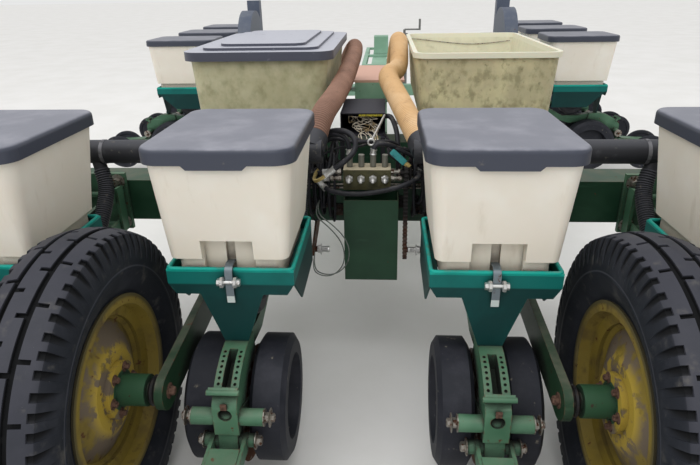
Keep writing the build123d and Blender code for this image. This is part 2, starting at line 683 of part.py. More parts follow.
def tank_stand():
    """Two rails on posts that carry the right tank over the bars, with cross pieces between them."""
    width, depth = TRAY_RAIL
    top = TANK_Z[0] - SEAT
    rail_z = (top - depth, top)
    rail_y = (-TRAY_PAST_BAR, TANK_Y[1] - TANK_CORNER)
    lows = (TANK_X[0] + TRAY_X_IN, TANK_X[1] - TRAY_X_IN - width)
    pieces = []
    for low in lows:
        rail = box((low, low + width), rail_y, rail_z)
        for y in (0, HINGE_Y):
            rail += box((low, low + width), grown((y, y), TRAY_POST / 2), (BAR_TOP + SEAT, rail_z[0] + 1))
        pieces.append(rail)
    for y in (HINGE_Y, TANK_Y[0] + 2 * TANK_CORNER, TANK_Y[1] - 3 * TANK_CORNER):
        pieces.append(box(grown((lows[0] + width, lows[1]), -SEAT), (y, y + width), rail_z))
    return pieces


def guard():
    """Folded sheet guard behind the middle of the bar."""
    flange_y = (GUARD_Y, -BAR / 2 - SEAT)
    sheet = box(GUARD_X, (GUARD_Y, GUARD_Y + GUARD_SHEET), GUARD_Z)
    for x in ((GUARD_X[0], GUARD_X[0] + GUARD_SHEET), (GUARD_X[1] - GUARD_SHEET, GUARD_X[1])):
        sheet += plate([(flange_y[0], GUARD_Z[1]), (flange_y[1], GUARD_Z[1]), (flange_y[1], BAR_LOW),
                        (flange_y[0], GUARD_Z[0])], x)
    return sheet


def tongue():
    """Tongue tube with side rails, hose box and jack boss, then the hitch clevis and the wing rest."""
    half_w = TONGUE_WIDTH / 2
    start = HINGE_Y + BAR / 2 + SEAT
    z = grown((BAR_Z, BAR_Z), TONGUE_HEIGHT / 2)
    body = box((-half_w, half_w), (start, TONGUE_END_Y), z)
    body -= box(grown((-half_w, half_w), -TONGUE_WALL), (start - 1, TONGUE_END_Y), grown(z, -TONGUE_WALL))
    for x in both(SIDE_RAIL_X):
        body += box(x, SIDE_RAIL_Y, SIDE_RAIL_Z)
    for y in (SIDE_RAIL_Y[0], sum(SIDE_RAIL_Y) / 2, SIDE_RAIL_Y[1] - STRAP):
        body += box(grown((-SIDE_RAIL_X[0], SIDE_RAIL_X[0]), 1), (y, y + STRAP), (z[1] - 1, SIDE_RAIL_Z[1]))
    body += box(HOSE_BOX_X, HOSE_BOX_Y, (z[1] - 1, HOSE_BOX_TOP))
    boss_end = JACK_X - JACK_TUBE_R - JACK_BOSS_PROUD - JACK_BOSS_GAP
    body += across((half_w, boss_end), JACK_Y, BAR_Z, JACK_BOSS_R)
    body += across((half_w, JACK_X), JACK_Y, BAR_Z, JACK_PIN_R)
    return [body, clevis(half_w, z[1]), wing_rest(z[0] - SEAT)]


def clevis(half_w, top):
    """Hitch plate on the tongue's end with two ears and the hitch-pin hole."""
    ear_low = HITCH_Z - HITCH_GAP / 2 - HITCH_EAR
    plate_end = TONGUE_END_Y + HITCH_PLATE
    hitch = box((-half_w, half_w), (TONGUE_END_Y + SEAT, plate_end), (ear_low - HITCH_PLATE_EDGE, top))
    pin_y = FRONT_END - HITCH_EAR_WIDTH / 2
    for low in (ear_low, HITCH_Z + HITCH_GAP / 2):
        ear_z = (low, low + HITCH_EAR)
        hitch += box(grown((0, 0), HITCH_EAR_WIDTH / 2), (plate_end - 1, pin_y), ear_z)
        hitch += upright(0, pin_y, ear_z, HITCH_EAR_WIDTH / 2)
    return hitch - upright(0, pin_y, grown((ear_low, HITCH_Z + HITCH_GAP), 1), HITCH_PIN_R)


def wing_rest(top):
    """Beam under the tongue with a pad under each folded wing."""
    reach = HINGE_X + BAR / 2
    rest = square_tube((-reach, reach), REST_Y, top - TUBE_BEAM / 2, TUBE_BEAM, BEAM_WALL)
    pad_z = (top - 1, BAR_LOW - REST_CLEAR)
    for x in both((reach - BAR, reach)):
        rest += box(x, grown((REST_Y, REST_Y), TUBE_BEAM / 2), pad_z)
    return rest


def air_box():
    """Sheet-metal air box on the tongue, with a lipped cover and a shelf where the left duct ends."""
    base = BAR_Z + TONGUE_HEIGHT / 2 + SEAT
    body = box(AIR_BOX_X, AIR_BOX_Y, (base, AIR_BOX_TOP - AIR_BOX_LIP))
    body += box(grown(AIR_BOX_X, AIR_BOX_LIP), AIR_BOX_Y, (AIR_BOX_TOP - AIR_BOX_LIP, AIR_BOX_TOP))
    out, length, thick = AIR_SHELF
    shelf_x = (AIR_BOX_X[0] - out, AIR_BOX_X[0])
    shelf_y = grown((DUCT_LEFT[-1][1], DUCT_LEFT[-1][1]), length / 2)
    return body + box(shelf_x, shelf_y, (AIR_SHELF_Z - thick, AIR_SHELF_Z))


def jack():
    """Side-mounted screw jack, swung down, with its foot on the ground."""
    leg = upright(JACK_X, JACK_Y, (JACK_TUBE_LOW, JACK_TOP), JACK_TUBE_R)
    leg += upright(JACK_X, JACK_Y, (JACK_FOOT, JACK_TUBE_LOW), JACK_LEG_R)
    leg += upright(JACK_X, JACK_Y, (0, JACK_FOOT), JACK_FOOT_R)
    boss_start = JACK_X - JACK_TUBE_R - JACK_BOSS_PROUD
    leg += across((boss_start, JACK_X + JACK_BOSS_PAST), JACK_Y, BAR_Z, JACK_BOSS_R)
    leg -= across((boss_start - 1, JACK_X + SEAT), JACK_Y, BAR_Z, JACK_PIN_R + RUNNING_FIT)
    crank_z = JACK_TOP + JACK_SCREW_RISE
    leg += upright(JACK_X, JACK_Y, (JACK_TOP, crank_z), JACK_SCREW_R)
    leg += across((JACK_X, JACK_X + JACK_CRANK), JACK_Y, crank_z, JACK_CRANK_R)
    grip_z = (crank_z - JACK_CRANK_R, crank_z + JACK_GRIP)
    return leg + upright(JACK_X + JACK_CRANK, JACK_Y, grip_z, JACK_GRIP_R)


# Transport wheels

def wheel_arms():
    """Arms behind the bar with a spindle for each wheel."""
    arms = []
    pad_y = (-BAR / 2 - SEAT - WHEEL_PAD, -BAR / 2 - SEAT)
    pad = [(pad_y[1], BAR_TOP), (pad_y[1], WHEEL_PAD_LOW), (pad_y[0], WHEEL_PAD_LOW), (pad_y[0], BAR_Z)]
    for side in (1, -1):
        for out in WHEEL_OUTS:
            inner = out - WHEEL_ARM_IN
            span = sorted((side * (inner - WHEEL_ARM), side * inner))
            arm = link((WHEEL_Y, TYRE_R), WHEEL_ARM_FRONT, WHEEL_ARM_DEPTH, span)
            arm += plate(pad, span)
            ends = (side * (inner - WHEEL_ARM), side * (out - SPINDLE_R))
            arms.append(arm + across(ends, WHEEL_Y, TYRE_R, SPINDLE_R))
    return arms


def transport_tyre(x):
    """Implement tyre with rounded shoulders, without its tread pattern."""
    half = TYRE_WIDTH / 2
    tread = TREAD_WIDTH / 2
    bead = RIM_WIDTH / 2 - RIM_METAL - 2
    side_r = (RIM_FLANGE_R + TYRE_R) / 2
    shoulder = (tread, TYRE_R - SHOULDER_DROP)
    foot = (bead, RIM_FLANGE_R + 4)
    right = ThreePointArc(shoulder, (half, side_r), foot)
    crown = ThreePointArc((-shoulder[0], shoulder[1]), (0, TYRE_R), shoulder)
    left = ThreePointArc((-foot[0], foot[1]), (-half, side_r), (-shoulder[0], shoulder[1]))
    base = Polyline(foot, (bead, RIM_R + STUB_FIT), (-bead, RIM_R + STUB_FIT), (-foot[0], foot[1]))
    return spin_x(crown + right + base + left, x, WHEEL_Y, TYRE_R)


def transport_rim(x):
    """Rim with its well, dished disc and hub, with the hub to the inner side."""
    half = RIM_WIDTH / 2
    flange = half - RIM_METAL
    metal = RIM_METAL
    well = RIM_WELL_R
    disc_in = RIM_DISC_X - RIM_DISC
    bore = SPINDLE_R + RUNNING_FIT
    lip = RIM_FLANGE_R - 9
    seat = RIM_R - 6
    root = well - metal
    profile = [(-half, lip), (-half, RIM_FLANGE_R), (-flange, RIM_FLANGE_R), (-flange + 2, RIM_R),
               (-38, seat), (-30, well), (12, well), (20, seat), (flange - 2, RIM_R), (flange, RIM_FLANGE_R),
               (half, RIM_FLANGE_R), (half, lip), (half - 2, RIM_R - metal), (25, seat - metal), (17, root),
               (8, root), (-2, well - 17), (RIM_DISC_X, RIM_DISC_R), (RIM_DISC_X, HUB_R), (-8, HUB_CAP_R),
               (-8, 0), (-22, 0), (-22, bore), (-HUB_INNER, bore), (-HUB_INNER, HUB_R),
               (disc_in - HUB_FLANGE, HUB_R),
               (disc_in - HUB_FLANGE, HUB_FLANGE_R), (disc_in, HUB_FLANGE_R), (disc_in, RIM_DISC_R + 4),
               (-12, well - 18), (-22, root), (-34, root), (-43, seat - metal), (-half + 2, RIM_R - metal)]
    side = 1 if x > 0 else -1
    return spin_x([(side * along_x, radius) for along_x, radius in profile], x, WHEEL_Y, TYRE_R)


# Tanks, valves and boxes

def tank(side):
    """Open tank with drafted walls and a rolled rim."""
    x, y, z = TANK_X, TANK_Y, TANK_Z
    wall = TANK_WALL
    height = z[1] - z[0]
    foot = round_rect(grown(x, -TANK_DRAFT), grown(y, -TANK_DRAFT), z[0], TANK_CORNER - TANK_DRAFT)
    body = loft([foot, round_rect(x, y, z[1], TANK_CORNER)])
    rim_low = z[1] - TANK_RIM_HEIGHT
    rim = round_rect(grown(x, TANK_RIM), grown(y, TANK_RIM), rim_low, TANK_CORNER + TANK_RIM)
    draft = TANK_DRAFT * (1 - wall / height) + wall
    floor = round_rect(grown(x, -draft), grown(y, -draft), z[0] + wall, TANK_CORNER - draft)
    mouth = round_rect(grown(x, -wall), grown(y, -wall), z[1], TANK_CORNER - wall)
    shell = body + extrude(rim, TANK_RIM_HEIGHT) - loft([floor, mouth])
    return shell if side > 0 else mirror(shell, Plane.YZ)


def tank_lid():
    """Black lid of the left tank with a skirt over the rim and two raised steps."""
    grow = TANK_RIM + TANK_LID_GAP
    wall = TANK_LID_WALL
    x = (-TANK_X[1], -TANK_X[0])
    top = TANK_Z[1] + SEAT
    skirt_z = top + TANK_LID - TANK_LID_SKIRT
    out = grow + wall
    lid = extrude(round_rect(grown(x, out), grown(TANK_Y, out), skirt_z, TANK_CORNER + out), TANK_LID_SKIRT)
    hollow = round_rect(grown(x, grow), grown(TANK_Y, grow), skirt_z, TANK_CORNER + grow)
    lid -= extrude(hollow, top - skirt_z)
    for inset, rise in TANK_LID_STEPS:
        step = round_rect(grown(x, -inset), grown(TANK_Y, -inset), top + TANK_LID - 1, TANK_CORNER)
        lid += extrude(step, rise + 1)
    return lid


def valve_block():
    """Hydraulic valve block on a plate over the bar, with plugs and cartridges, and two hose posts."""
    block = box(VALVE_X, VALVE_Y, VALVE_Z)
    foot = BAR_TOP + SEAT
    plate_end = BAR / 2 - WIRING_POST - VALVE_PLATE_GAP
    block += box(VALVE_X, (VALVE_Y[0], plate_end), (foot, VALVE_Z[0] + 1))
    for x in CARTRIDGE_XS:
        block += upright(x, VALVE_MIDDLE_Y, (VALVE_Z[1] - 1, VALVE_Z[1] + CARTRIDGE), CARTRIDGE_R)
        block += along(x, (VALVE_Y[0] - PLUG, VALVE_Y[0] + 1), sum(VALVE_Z) / 2, PLUG_R)
    return [block] + [box(x, HOSE_POST_Y, (foot, HOSE_POST_TOP)) for x in both(HOSE_POST_X)]


def hydraulic_hose(points):
    """A hose with a steel fitting at each end."""
    hose = route(points, HYDRAULIC_R)
    for first, second in ((points[0], points[1]), (points[-1], points[-2])):
        way = Vector(*second) - Vector(*first)
        hose += Plane(origin=first, z_dir=way) * Pos(0, 0, FITTING / 2) * Cylinder(FITTING_R, FITTING)
    return hose


def drive_chain():
    """Rusty drive chain on its two sprockets, with the upper shaft's plate on the bar."""
    low = (SHAFT_Y, SHAFT_Z)
    chain = link(low, CHAIN_TOP, 2 * CHAIN_R, CHAIN_X)
    chain -= link(low, CHAIN_TOP, 2 * (CHAIN_R - CHAIN_DEPTH), grown(CHAIN_X, 1))
    for centre in (low, CHAIN_TOP):
        chain += across(grown(CHAIN_X, -4), *centre, CHAIN_R - CHAIN_DEPTH / 2)
    chain += across(CHAIN_SHAFT_X, *CHAIN_TOP, SHAFT_HEX / 2)
    foot = BAR_TOP + SEAT
    edge = CHAIN_PLATE_EDGE
    top_y, top_z = CHAIN_TOP
    stand = [(BAR / 2, foot), (-BAR / 2, foot), (top_y - edge, top_z - edge), (top_y - edge, top_z + edge),
             (top_y + edge, top_z + edge), (BAR / 2, foot + edge)]
    return chain + plate(stand, CHAIN_PLATE_X)


def drive_shafts():
    """Hexagonal meter drive shafts under the arms, hung from the bar, with the chain on the right one."""
    solids = []
    hexagon = Plane.YZ * RegularPolygon(SHAFT_HEX / 2, 6, major_radius=False)
    drop = (SHAFT_Z - SHAFT_HEX, SHAFT_Z + SHAFT_HEX)
    bar_y = (-BAR / 2, BAR / 2)
    top = BAR_LOW - SEAT
    hanger = [(bar_y[1], top), (bar_y[0], top), (SHAFT_Y - SHAFT_HEX, drop[1]), (SHAFT_Y - SHAFT_HEX, drop[0]),
              (SHAFT_Y + SHAFT_HEX, drop[0]), (bar_y[1], BAR_LOW - HANGER_EDGE)]
    for side in (1, -1):
        start = SHAFT_X[0] if side > 0 else -SHAFT_X[1]
        shaft = Pos(start, SHAFT_Y, SHAFT_Z) * extrude(hexagon, SHAFT_X[1] - SHAFT_X[0])
        for out in (SHAFT_X[0] + HANGER_IN, SHAFT_X[1] - HANGER_IN / 2):
            shaft += plate(hanger, (side * out, side * (out + HANGER)))
        if side > 0:
            shaft += across((CHAIN_X[0], SHAFT_X[0] + 1), SHAFT_Y, SHAFT_Z, SHAFT_HEX / 2)
            shaft += drive_chain()
        solids.append(shaft)
    return solids


def wiring_box():
    """Open-backed wiring box on two posts over the bar."""
    x, y, z = WIRING_X, WIRING_Y, WIRING_Z
    wall = WIRING_WALL
    case = box(x, y, z) - box(grown(x, -wall), (y[0] - 1, y[1] - wall), grown(z, -wall))
    post_y = (BAR / 2 - WIRING_POST, y[0] + WIRING_POST)
    for low in (x[0], x[1] - WIRING_POST):
        case += box((low, low + WIRING_POST), post_y, (z[0] - WIRING_POST, z[0] + 1))
        case += box((low, low + WIRING_POST), (post_y[0], BAR / 2), (BAR_TOP + SEAT, z[0] + 1))
    return case


# Vacuum system

def pipe_run(inner, outer, rows):
    """Suction pipe behind the bar with couplers, brackets and a hose down to each meter."""
    pipe = across((inner, outer), PIPE_Y, PIPE_Z, PIPE_R)
    foot = BAR_TOP + SEAT
    bracket = [(-84, foot), (-36, foot), (-40, foot + PIPE_BRACKET), (PIPE_Y + PIPE_R - 5, PIPE_Z),
               (PIPE_Y - 10, PIPE_Z - PIPE_R + 3)]
    rise, width = PIPE_COLLAR
    for x in rows:
        ends = HOSE_ROUTE + ((PORT_X, PORT_END_Y + SEAT, PORT_Z),)
        pipe += route([(x + dx, y, z) for dx, y, z in ends], HOSE_R)
        pipe += plate(bracket, (x + PIPE_BRACKET_OUT, x + PIPE_BRACKET_OUT + SHEET))
        collar = min(x + PIPE_COUPLER_OUT, outer - width)
        pipe += across((collar, collar + width), PIPE_Y, PIPE_Z, PIPE_R + rise)
    return pipe


def duct(side):
    """Air duct from the pipe's stub over the gap between the tanks, drawn at its full bore."""
    points = DUCT_RIGHT if side > 0 else DUCT_LEFT
    start = reach((side * PIPE_INNER_X, PIPE_Y, PIPE_Z), points[0], DUCT_STUB + SEAT)
    return route((start,) + points, DUCT_R)


def pipe_with_stub(side):
    """The half of the suction pipe on one side, with the stub that carries its air duct."""
    rows = [x for x in CENTRE_ROW_XS if x > 0]
    pipe = pipe_run(PIPE_INNER_X - PIPE_R, BAR_HALF, rows)
    pipe = pipe if side > 0 else mirror(pipe, Plane.YZ)
    points = DUCT_RIGHT if side > 0 else DUCT_LEFT
    foot = (side * PIPE_INNER_X, PIPE_Y, PIPE_Z)
    way = Vector(*points[0]) - Vector(*foot)
    stub = Pos(0, 0, DUCT_STUB / 2) * Cylinder(DUCT_R + DUCT_WALL_PLAY, DUCT_STUB)
    return pipe + Plane(origin=foot, z_dir=way) * stub


def wing_bar():
    """Wing toolbar with its hinge knuckle, drawn along X from the hinge."""
    bar = square_tube((WING_TUBE_START, WING_BAR_END), 0, BAR_Z, BAR, BAR_WALL)
    width, height = WING_TONGUE
    bar += box((0, WING_TUBE_START + 1), (-width / 2, width / 2), grown((BAR_Z, BAR_Z), height / 2))
    bar += upright(0, 0, grown((BAR_LOW, BAR_TOP), -KNUCKLE_PLAY), KNUCKLE_R)
    return bar - upright(0, 0, grown((BAR_LOW, BAR_TOP), 1), HINGE_PIN_R + RUNNING_FIT)


def fan():
    """Fan housing with its outlet, inlet neck and motor, on a stand over the wing bar."""
    half = FAN_WIDTH / 2
    housing = along(FAN_ALONG, (-half, half), FAN_Z, FAN_R)
    out, rise = FAN_OUTLET
    housing += box((FAN_ALONG + FAN_R - out, FAN_ALONG + FAN_R), (-half, half), (FAN_Z, FAN_Z + FAN_R + rise))
    stand_x, stand_y = FAN_STAND
    stand_y = (-stand_y / 2, stand_y / 2)
    stand = box(grown((FAN_ALONG, FAN_ALONG), stand_x / 2), stand_y, (BAR_TOP + SEAT, FAN_Z))
    motor = along(FAN_ALONG, (half - 1, half + FAN_MOTOR), FAN_Z, FAN_MOTOR_R)
    inlet = along(FAN_ALONG, (-half - out, -half + 1), FAN_Z, PIPE_R)
    return housing + stand + motor + inlet


def on_wing(side, shapes):
    """Shapes drawn on the unfolded right wing, from its hinge, as the folded wing holds them."""
    folded = Pos(HINGE_X, HINGE_Y, 0) * Rot(0, 0, 90)
    placed = [folded * shape for shape in shapes]
    return placed if side > 0 else [mirror(shape, Plane.YZ) for shape in placed]


def at_rows(make, xs):
    """One copy of a row piece at each x, mirrored on the left half so that hoses lie to the middle."""
    made = make()
    pieces = made if isinstance(made, list) else [made]
    mirrored = [mirror(piece, Plane.YZ) for piece in pieces]
    return [Pos(x, 0, 0) * piece for x in xs for piece in (pieces if x > 0 else mirrored)]


def write(name, shapes):
    """Write one node about the middle of the plan."""
    solids = [solid for shape in shapes for solid in shape.solids()]
    moved = [Pos(0, -MID_Y, 0) * solid for solid in solids]
    part = moved[0] if len(moved) == 1 else Compound(children=moved)
    part.label = name
    export_step(part, f"parts/{name}.step")


ROW_PIECES = [
    # node stem, what makes one row's copy
    ("row_frames", row_frame),
    ("hopper_supports", hopper_support),
    ("seed_hoppers", seed_hopper),
    ("hopper_lids", hopper_lid),
    ("seed_meters", seed_meter),
    ("opener_discs", opener_discs),
    ("closing_wheels", closing_wheels),
]


def main():
    os.makedirs("parts", exist_ok=True)
    write("rear_bar", [rear_bar()])
    write("centre_frame", centre_frame())
    write("tongue", tongue() + [air_box()])
    write("jack", [jack()])
    write("wheel_arms", wheel_arms())
    write("valve_block", valve_block())
    write("hydraulic_hoses", [hydraulic_hose(points) for points in HOSES])
    write("drive_shaft", drive_shafts())
    write("wiring_box", [wiring_box()])
    for name, side in (("left", -1), ("right", 1)):
        write(f"tank_{name}", [tank(side)])
        write(f"vacuum_pipe_{name}", [pipe_with_stub(side)])
        write(f"wing_bar_{name}", on_wing(side, [wing_bar()]))
        wing_pipe = pipe_run(FAN_ALONG, WING_BAR_END, WING_ROW_OUTS)
        write(f"vacuum_fan_{name}", on_wing(side, [fan(), wing_pipe]))
        for number, out in enumerate(WHEEL_OUTS, 1):
            write(f"tyre_{name}_{number}", [transport_tyre(side * out)])
            write(f"rim_{name}_{number}", [transport_rim(side * out)])
        for number, out in enumerate(WING_ROW_OUTS, 1):
            wheels = [Pos(out, 0, 0) * wheel for wheel in gauge_wheels()]
            write(f"gauge_wheels_wing_{name}_{number}", on_wing(side, wheels))
    write("air_ducts", [duct(1), duct(-1)])
    write("tank_lid", [tank_lid()])
    for number, x in enumerate(CENTRE_ROW_XS, 1):
        write(f"gauge_wheels_{number}", [Pos(x, 0, 0) * wheel for wheel in gauge_wheels()])
    for stem, make in ROW_PIECES:
        write(f"{stem}_centre", at_rows(make, CENTRE_ROW_XS))
        for name, side in (("left", -1), ("right", 1)):
            write(f"{stem}_{name}", on_wing(side, at_rows(make, WING_ROW_OUTS)))


main()
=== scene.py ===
"""Row crop planter, folded for transport and seen from behind.

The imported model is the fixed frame. This script dresses it in the order in which it is put together:
paint, rubber, plastic and rust on every piece, and the treads, latches, bolts, ducts and wires on it.
Metres: X to the right, Y forward along the tongue, Z up from the ground.
"""
import json
from math import pi, radians, tau

import bmesh
import bpy
import numpy as np
from mathutils import Matrix, Vector

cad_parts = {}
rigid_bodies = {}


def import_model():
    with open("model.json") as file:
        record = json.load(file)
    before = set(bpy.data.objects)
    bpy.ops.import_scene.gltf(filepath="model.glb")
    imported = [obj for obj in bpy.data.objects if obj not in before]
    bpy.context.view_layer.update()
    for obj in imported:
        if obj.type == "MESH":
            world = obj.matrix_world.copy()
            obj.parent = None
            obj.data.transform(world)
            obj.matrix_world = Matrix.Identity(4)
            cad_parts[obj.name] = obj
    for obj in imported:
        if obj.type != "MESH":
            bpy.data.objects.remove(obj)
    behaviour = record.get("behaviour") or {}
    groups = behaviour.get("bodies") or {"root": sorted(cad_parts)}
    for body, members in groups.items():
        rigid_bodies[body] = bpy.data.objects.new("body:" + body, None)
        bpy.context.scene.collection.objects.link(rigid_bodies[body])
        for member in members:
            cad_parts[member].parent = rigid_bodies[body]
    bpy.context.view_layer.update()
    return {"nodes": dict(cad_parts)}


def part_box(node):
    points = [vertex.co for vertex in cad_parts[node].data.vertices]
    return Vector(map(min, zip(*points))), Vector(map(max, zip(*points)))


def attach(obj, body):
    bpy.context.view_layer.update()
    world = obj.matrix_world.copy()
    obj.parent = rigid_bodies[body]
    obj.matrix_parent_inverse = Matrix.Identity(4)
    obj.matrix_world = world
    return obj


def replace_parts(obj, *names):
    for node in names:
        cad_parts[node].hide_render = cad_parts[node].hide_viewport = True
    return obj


for startup_object in list(bpy.data.objects):
    bpy.data.objects.remove(startup_object)

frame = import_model()


# Toolbars and centre frame. Square steel tube, welded, painted green and left outdoors for years: the paint
# is faded and dusty on top, scratched along the tubes, and rusts at its edges and in spots.

def shade(red, green, blue):
    """A colour as it is seen, 0 to 255 in each channel, as the linear value that a shader takes."""
    seen = np.array([red, green, blue]) / 255
    linear = np.where(seen <= 0.04045, seen / 12.92, ((seen + 0.055) / 1.055) ** 2.4)
    return (*linear.tolist(), 1.0)


class Finish:
    """One surface finish. Layers cover the base colour in the order written, each where its mask is 1.

    Colours are given as they are seen, 0 to 255 in each channel.
    """

    def __init__(self, name, colour, rough, metal=0.0, gloss=0.35):
        self.material = bpy.data.materials.new(name)
        self.material.use_nodes = True
        self.tree = self.material.node_tree
        self.shader = self.tree.nodes["Principled BSDF"]
        self.shader.inputs["Metallic"].default_value = metal
        self.shader.inputs["Specular IOR Level"].default_value = gloss
        self.place = self.node("ShaderNodeTexCoord").outputs["Object"]
        self.colour = shade(*colour)
        self.rough = rough
        self.relief = None

    def feed(self, socket, value):
        if isinstance(value, bpy.types.NodeSocket):
            self.tree.links.new(value, socket)
        else:
            socket.default_value = value

    def node(self, kind, **inputs):
        made = self.tree.nodes.new(kind)
        for name, value in inputs.items():
            self.feed(made.inputs[name], value)
        return made

    def sum(self, operation, *values, kind="ShaderNodeMath"):
        """The value that a math node, or another kind with such operations, makes of the values."""
        made = self.tree.nodes.new(kind)
        made.operation = operation
        for socket, value in zip(made.inputs, values):
            self.feed(socket, value)
        return made.outputs["Value"]

    def both(self, mask, other):
        """1 where both masks are 1. One of them may be a number, as a share."""
        return self.sum("MULTIPLY", mask, other)

    def grain(self, size, detail, stretch=(1, 1, 1), shift=(0, 0, 0)):
        """Noise whose blotches are about size across, drawn out along an axis by its stretch."""
        scale = [1 / (size * factor) for factor in stretch]
        mapped = self.node("ShaderNodeMapping", Vector=self.place, Location=shift, Scale=scale)
        noise = self.node("ShaderNodeTexNoise", Vector=mapped.outputs[0], Scale=1.0, Detail=detail,
                          Roughness=0.6)
        return noise.outputs["Fac"]

    def ramp(self, value, low, high):
        """0 below low and 1 above high, with a soft change between. A high under the low turns it round."""
        made = self.tree.nodes.new("ShaderNodeMapRange")
        made.interpolation_type = "SMOOTHSTEP"
        flip = high < low
        numbers = (value, min(low, high), max(low, high), float(flip), float(not flip))
        for socket, number in zip(("Value", "From Min", "From Max", "To Min", "To Max"), numbers):
            self.feed(made.inputs[socket], number)
        return made.outputs[0]

    def patches(self, size, detail, low, high, stretch=(1, 1, 1), shift=(0, 0, 0)):
        """A mask in patches: the grain of that size and detail, from 0 at its low to 1 at its high."""
        return self.ramp(self.grain(size, detail, stretch, shift), low, high)

    def part(self, axis, vector=None):
        """One coordinate of the place on the piece, or of another vector."""
        return self.node("ShaderNodeSeparateXYZ", Vector=vector or self.place).outputs[axis]

    def from_middle(self, middle):
        """The place on the piece, counted from a middle."""
        offset = [-value for value in middle]
        return self.node("ShaderNodeMapping", Vector=self.place, Location=offset).outputs[0]

    def normal(self):
        return self.node("ShaderNodeNewGeometry").outputs["Normal"]

    def dot_normal(self, vector):
        return self.sum("DOT_PRODUCT", vector, self.normal(), kind="ShaderNodeVectorMath")

    def facing_up(self, low=0.5, high=0.9):
        return self.ramp(self.part("Z", self.normal()), low, high)

    def edges(self, radius):
        """1 along the outer and inner edges, within the radius."""
        bevel = self.node("ShaderNodeBevel", Radius=radius)
        bevel.samples = 4
        return self.ramp(self.dot_normal(bevel.outputs[0]), 0.99, 0.85)

    def crevices(self, reach, start=0.62):
        """1 deep in holes, slots and corners whose sides are within reach, from the openness at its start.
        Layers use it to paint the shade that falls there.
        """
        hidden = self.node("ShaderNodeAmbientOcclusion", Distance=reach)
        hidden.samples = 4
        return self.ramp(hidden.outputs["AO"], start, start - 0.35)

    def mark(self, name):
        """A number kept with each point of the piece's own mesh."""
        kept = self.tree.nodes.new("ShaderNodeAttribute")
        kept.attribute_name = name
        return kept.outputs["Fac"]

    def mixed(self, mask, under, over, kind="FLOAT", first=2, result=0):
        """What is under, covered where the mask is 1. The mix node has its own sockets for each kind."""
        mix = self.tree.nodes.new("ShaderNodeMix")
        mix.data_type = kind
        self.feed(mix.inputs["Factor"], mask)
        self.feed(mix.inputs[first], under)
        self.feed(mix.inputs[first + 1], over)
        return mix.outputs[result]

    def layer(self, mask, colour, rough=None, share=None):
        """The colour, and the roughness if one is given, where the mask is 1, or as a share of that."""
        if share is not None:
            mask = self.both(mask, share)
        self.colour = self.mixed(mask, self.colour, shade(*colour), "RGBA", 6, 2)
        if rough is not None:
            self.rough = self.mixed(mask, self.rough, rough)

    def blotches(self, size, detail, low, high, colour, rough=None, share=None, shift=(0, 0, 0),
                 stretch=(1, 1, 1)):
        """A layer in patches. The share is a number, or another mask."""
        self.layer(self.patches(size, detail, low, high, stretch, shift), colour, rough, share)

    def raise_by(self, mask, height):
        """Relief: the surface stands proud by the height, in metres, where the mask is 1."""
        self.relief = self.both(mask, height)

    def done(self):
        self.feed(self.shader.inputs["Base Color"], self.colour)
        self.feed(self.shader.inputs["Roughness"], self.rough)
        if self.relief is not None:
            bump = self.node("ShaderNodeBump", Height=self.relief, Distance=1.0, Strength=1.0)
            self.feed(self.shader.inputs["Normal"], bump.outputs[0])
        return self.material


DUST = (122, 116, 104)
RUST = (92, 58, 40)
DARK_RUST = (58, 38, 30)
# The colour of crevices: painted shade, with some grime.
SHADE_AND_GRIME = (22, 22, 20)


def worn_paint(name, colour, faded, chips=0.5, dust=0.55, dark=(0.035, 0.62)):
    """Machine paint: faded in patches, chipped to rust at edges and in spots, dusty on top, and darkened in
    its crevices by painted shade with some grime.
    """
    paint = Finish(name, colour, 0.42)
    paint.blotches(0.22, 3.0, 0.38, 0.72, faded, 0.55)
    paint.blotches(0.02, 6.0, 0.60, 0.72, faded, stretch=(9.0, 1.0, 1.0))
    paint.layer(paint.both(paint.edges(0.006), paint.patches(0.012, 5.0, 0.46, 0.58)), RUST, 0.8, chips)
    rusted = 0.74 - 0.10 * chips
    spots = paint.grain(0.035, 8.0)
    paint.layer(paint.ramp(spots, rusted, rusted + 0.04), RUST, 0.85)
    paint.layer(paint.ramp(spots, rusted + 0.05, rusted + 0.10), DARK_RUST, 0.9)
    paint.layer(paint.both(paint.facing_up(), paint.patches(0.08, 5.0, 0.3, 0.8)), DUST, 0.9, dust)
    # Painted shade, with some grime, in the crevices.
    paint.layer(paint.crevices(*dark), SHADE_AND_GRIME, 0.9, 0.95)
    paint.raise_by(paint.grain(0.004, 3.0), 0.00008)
    return paint.done()


def finish_nodes(material, *stems):
    """The material on the frame's own nodes whose names start with one of the stems."""
    for name, node in frame["nodes"].items():
        if name.startswith(stems):
            for slot in node.material_slots:
                slot.material = material


frame_green = worn_paint("frame green", (24, 60, 40), (40, 76, 54))
finish_nodes(frame_green, "rear_bar", "centre_frame", "wing_bar")


# Bolts of the row heads: four hexagon heads with washers on each plate, which clamps the row on the bar. Each
# head is a hexagon with its top corners turned off, forged and plated, and now dull.

MERGE = 1e-6


def grid_faces(rows, columns, close_rows, close_columns):
    """The quads between the points of a grid. A closed direction also joins its last line to its first."""
    row = np.arange(rows if close_rows else rows - 1)
    column = np.arange(columns if close_columns else columns - 1)
    row, column = (axis.ravel() for axis in np.meshgrid(row, column, indexing="ij"))
    here, ahead = row * columns, (row + 1) % rows * columns
    beside = (column + 1) % columns
    return np.stack([here + column, ahead + column, ahead + beside, here + beside], 1)


def turned(profile, steps, phase=0.0):
    """Points and faces of a profile of (along, radius) turned about X, closed where the radius is 0."""
    along, radius = np.array(profile).T
    angle = phase + np.arange(steps) * tau / steps
    around = (np.outer(radius, np.cos(angle)).ravel(), np.outer(radius, np.sin(angle)).ravel())
    return np.stack([np.repeat(along, steps), *around], 1), grid_faces(len(profile), steps, False, True)


def bar_between(start, end, radius, steps):
    """A closed bar along X: hexagonal or square where its steps are few."""
    return turned([(start, 0), (start, radius), (end, radius), (end, 0)], steps)


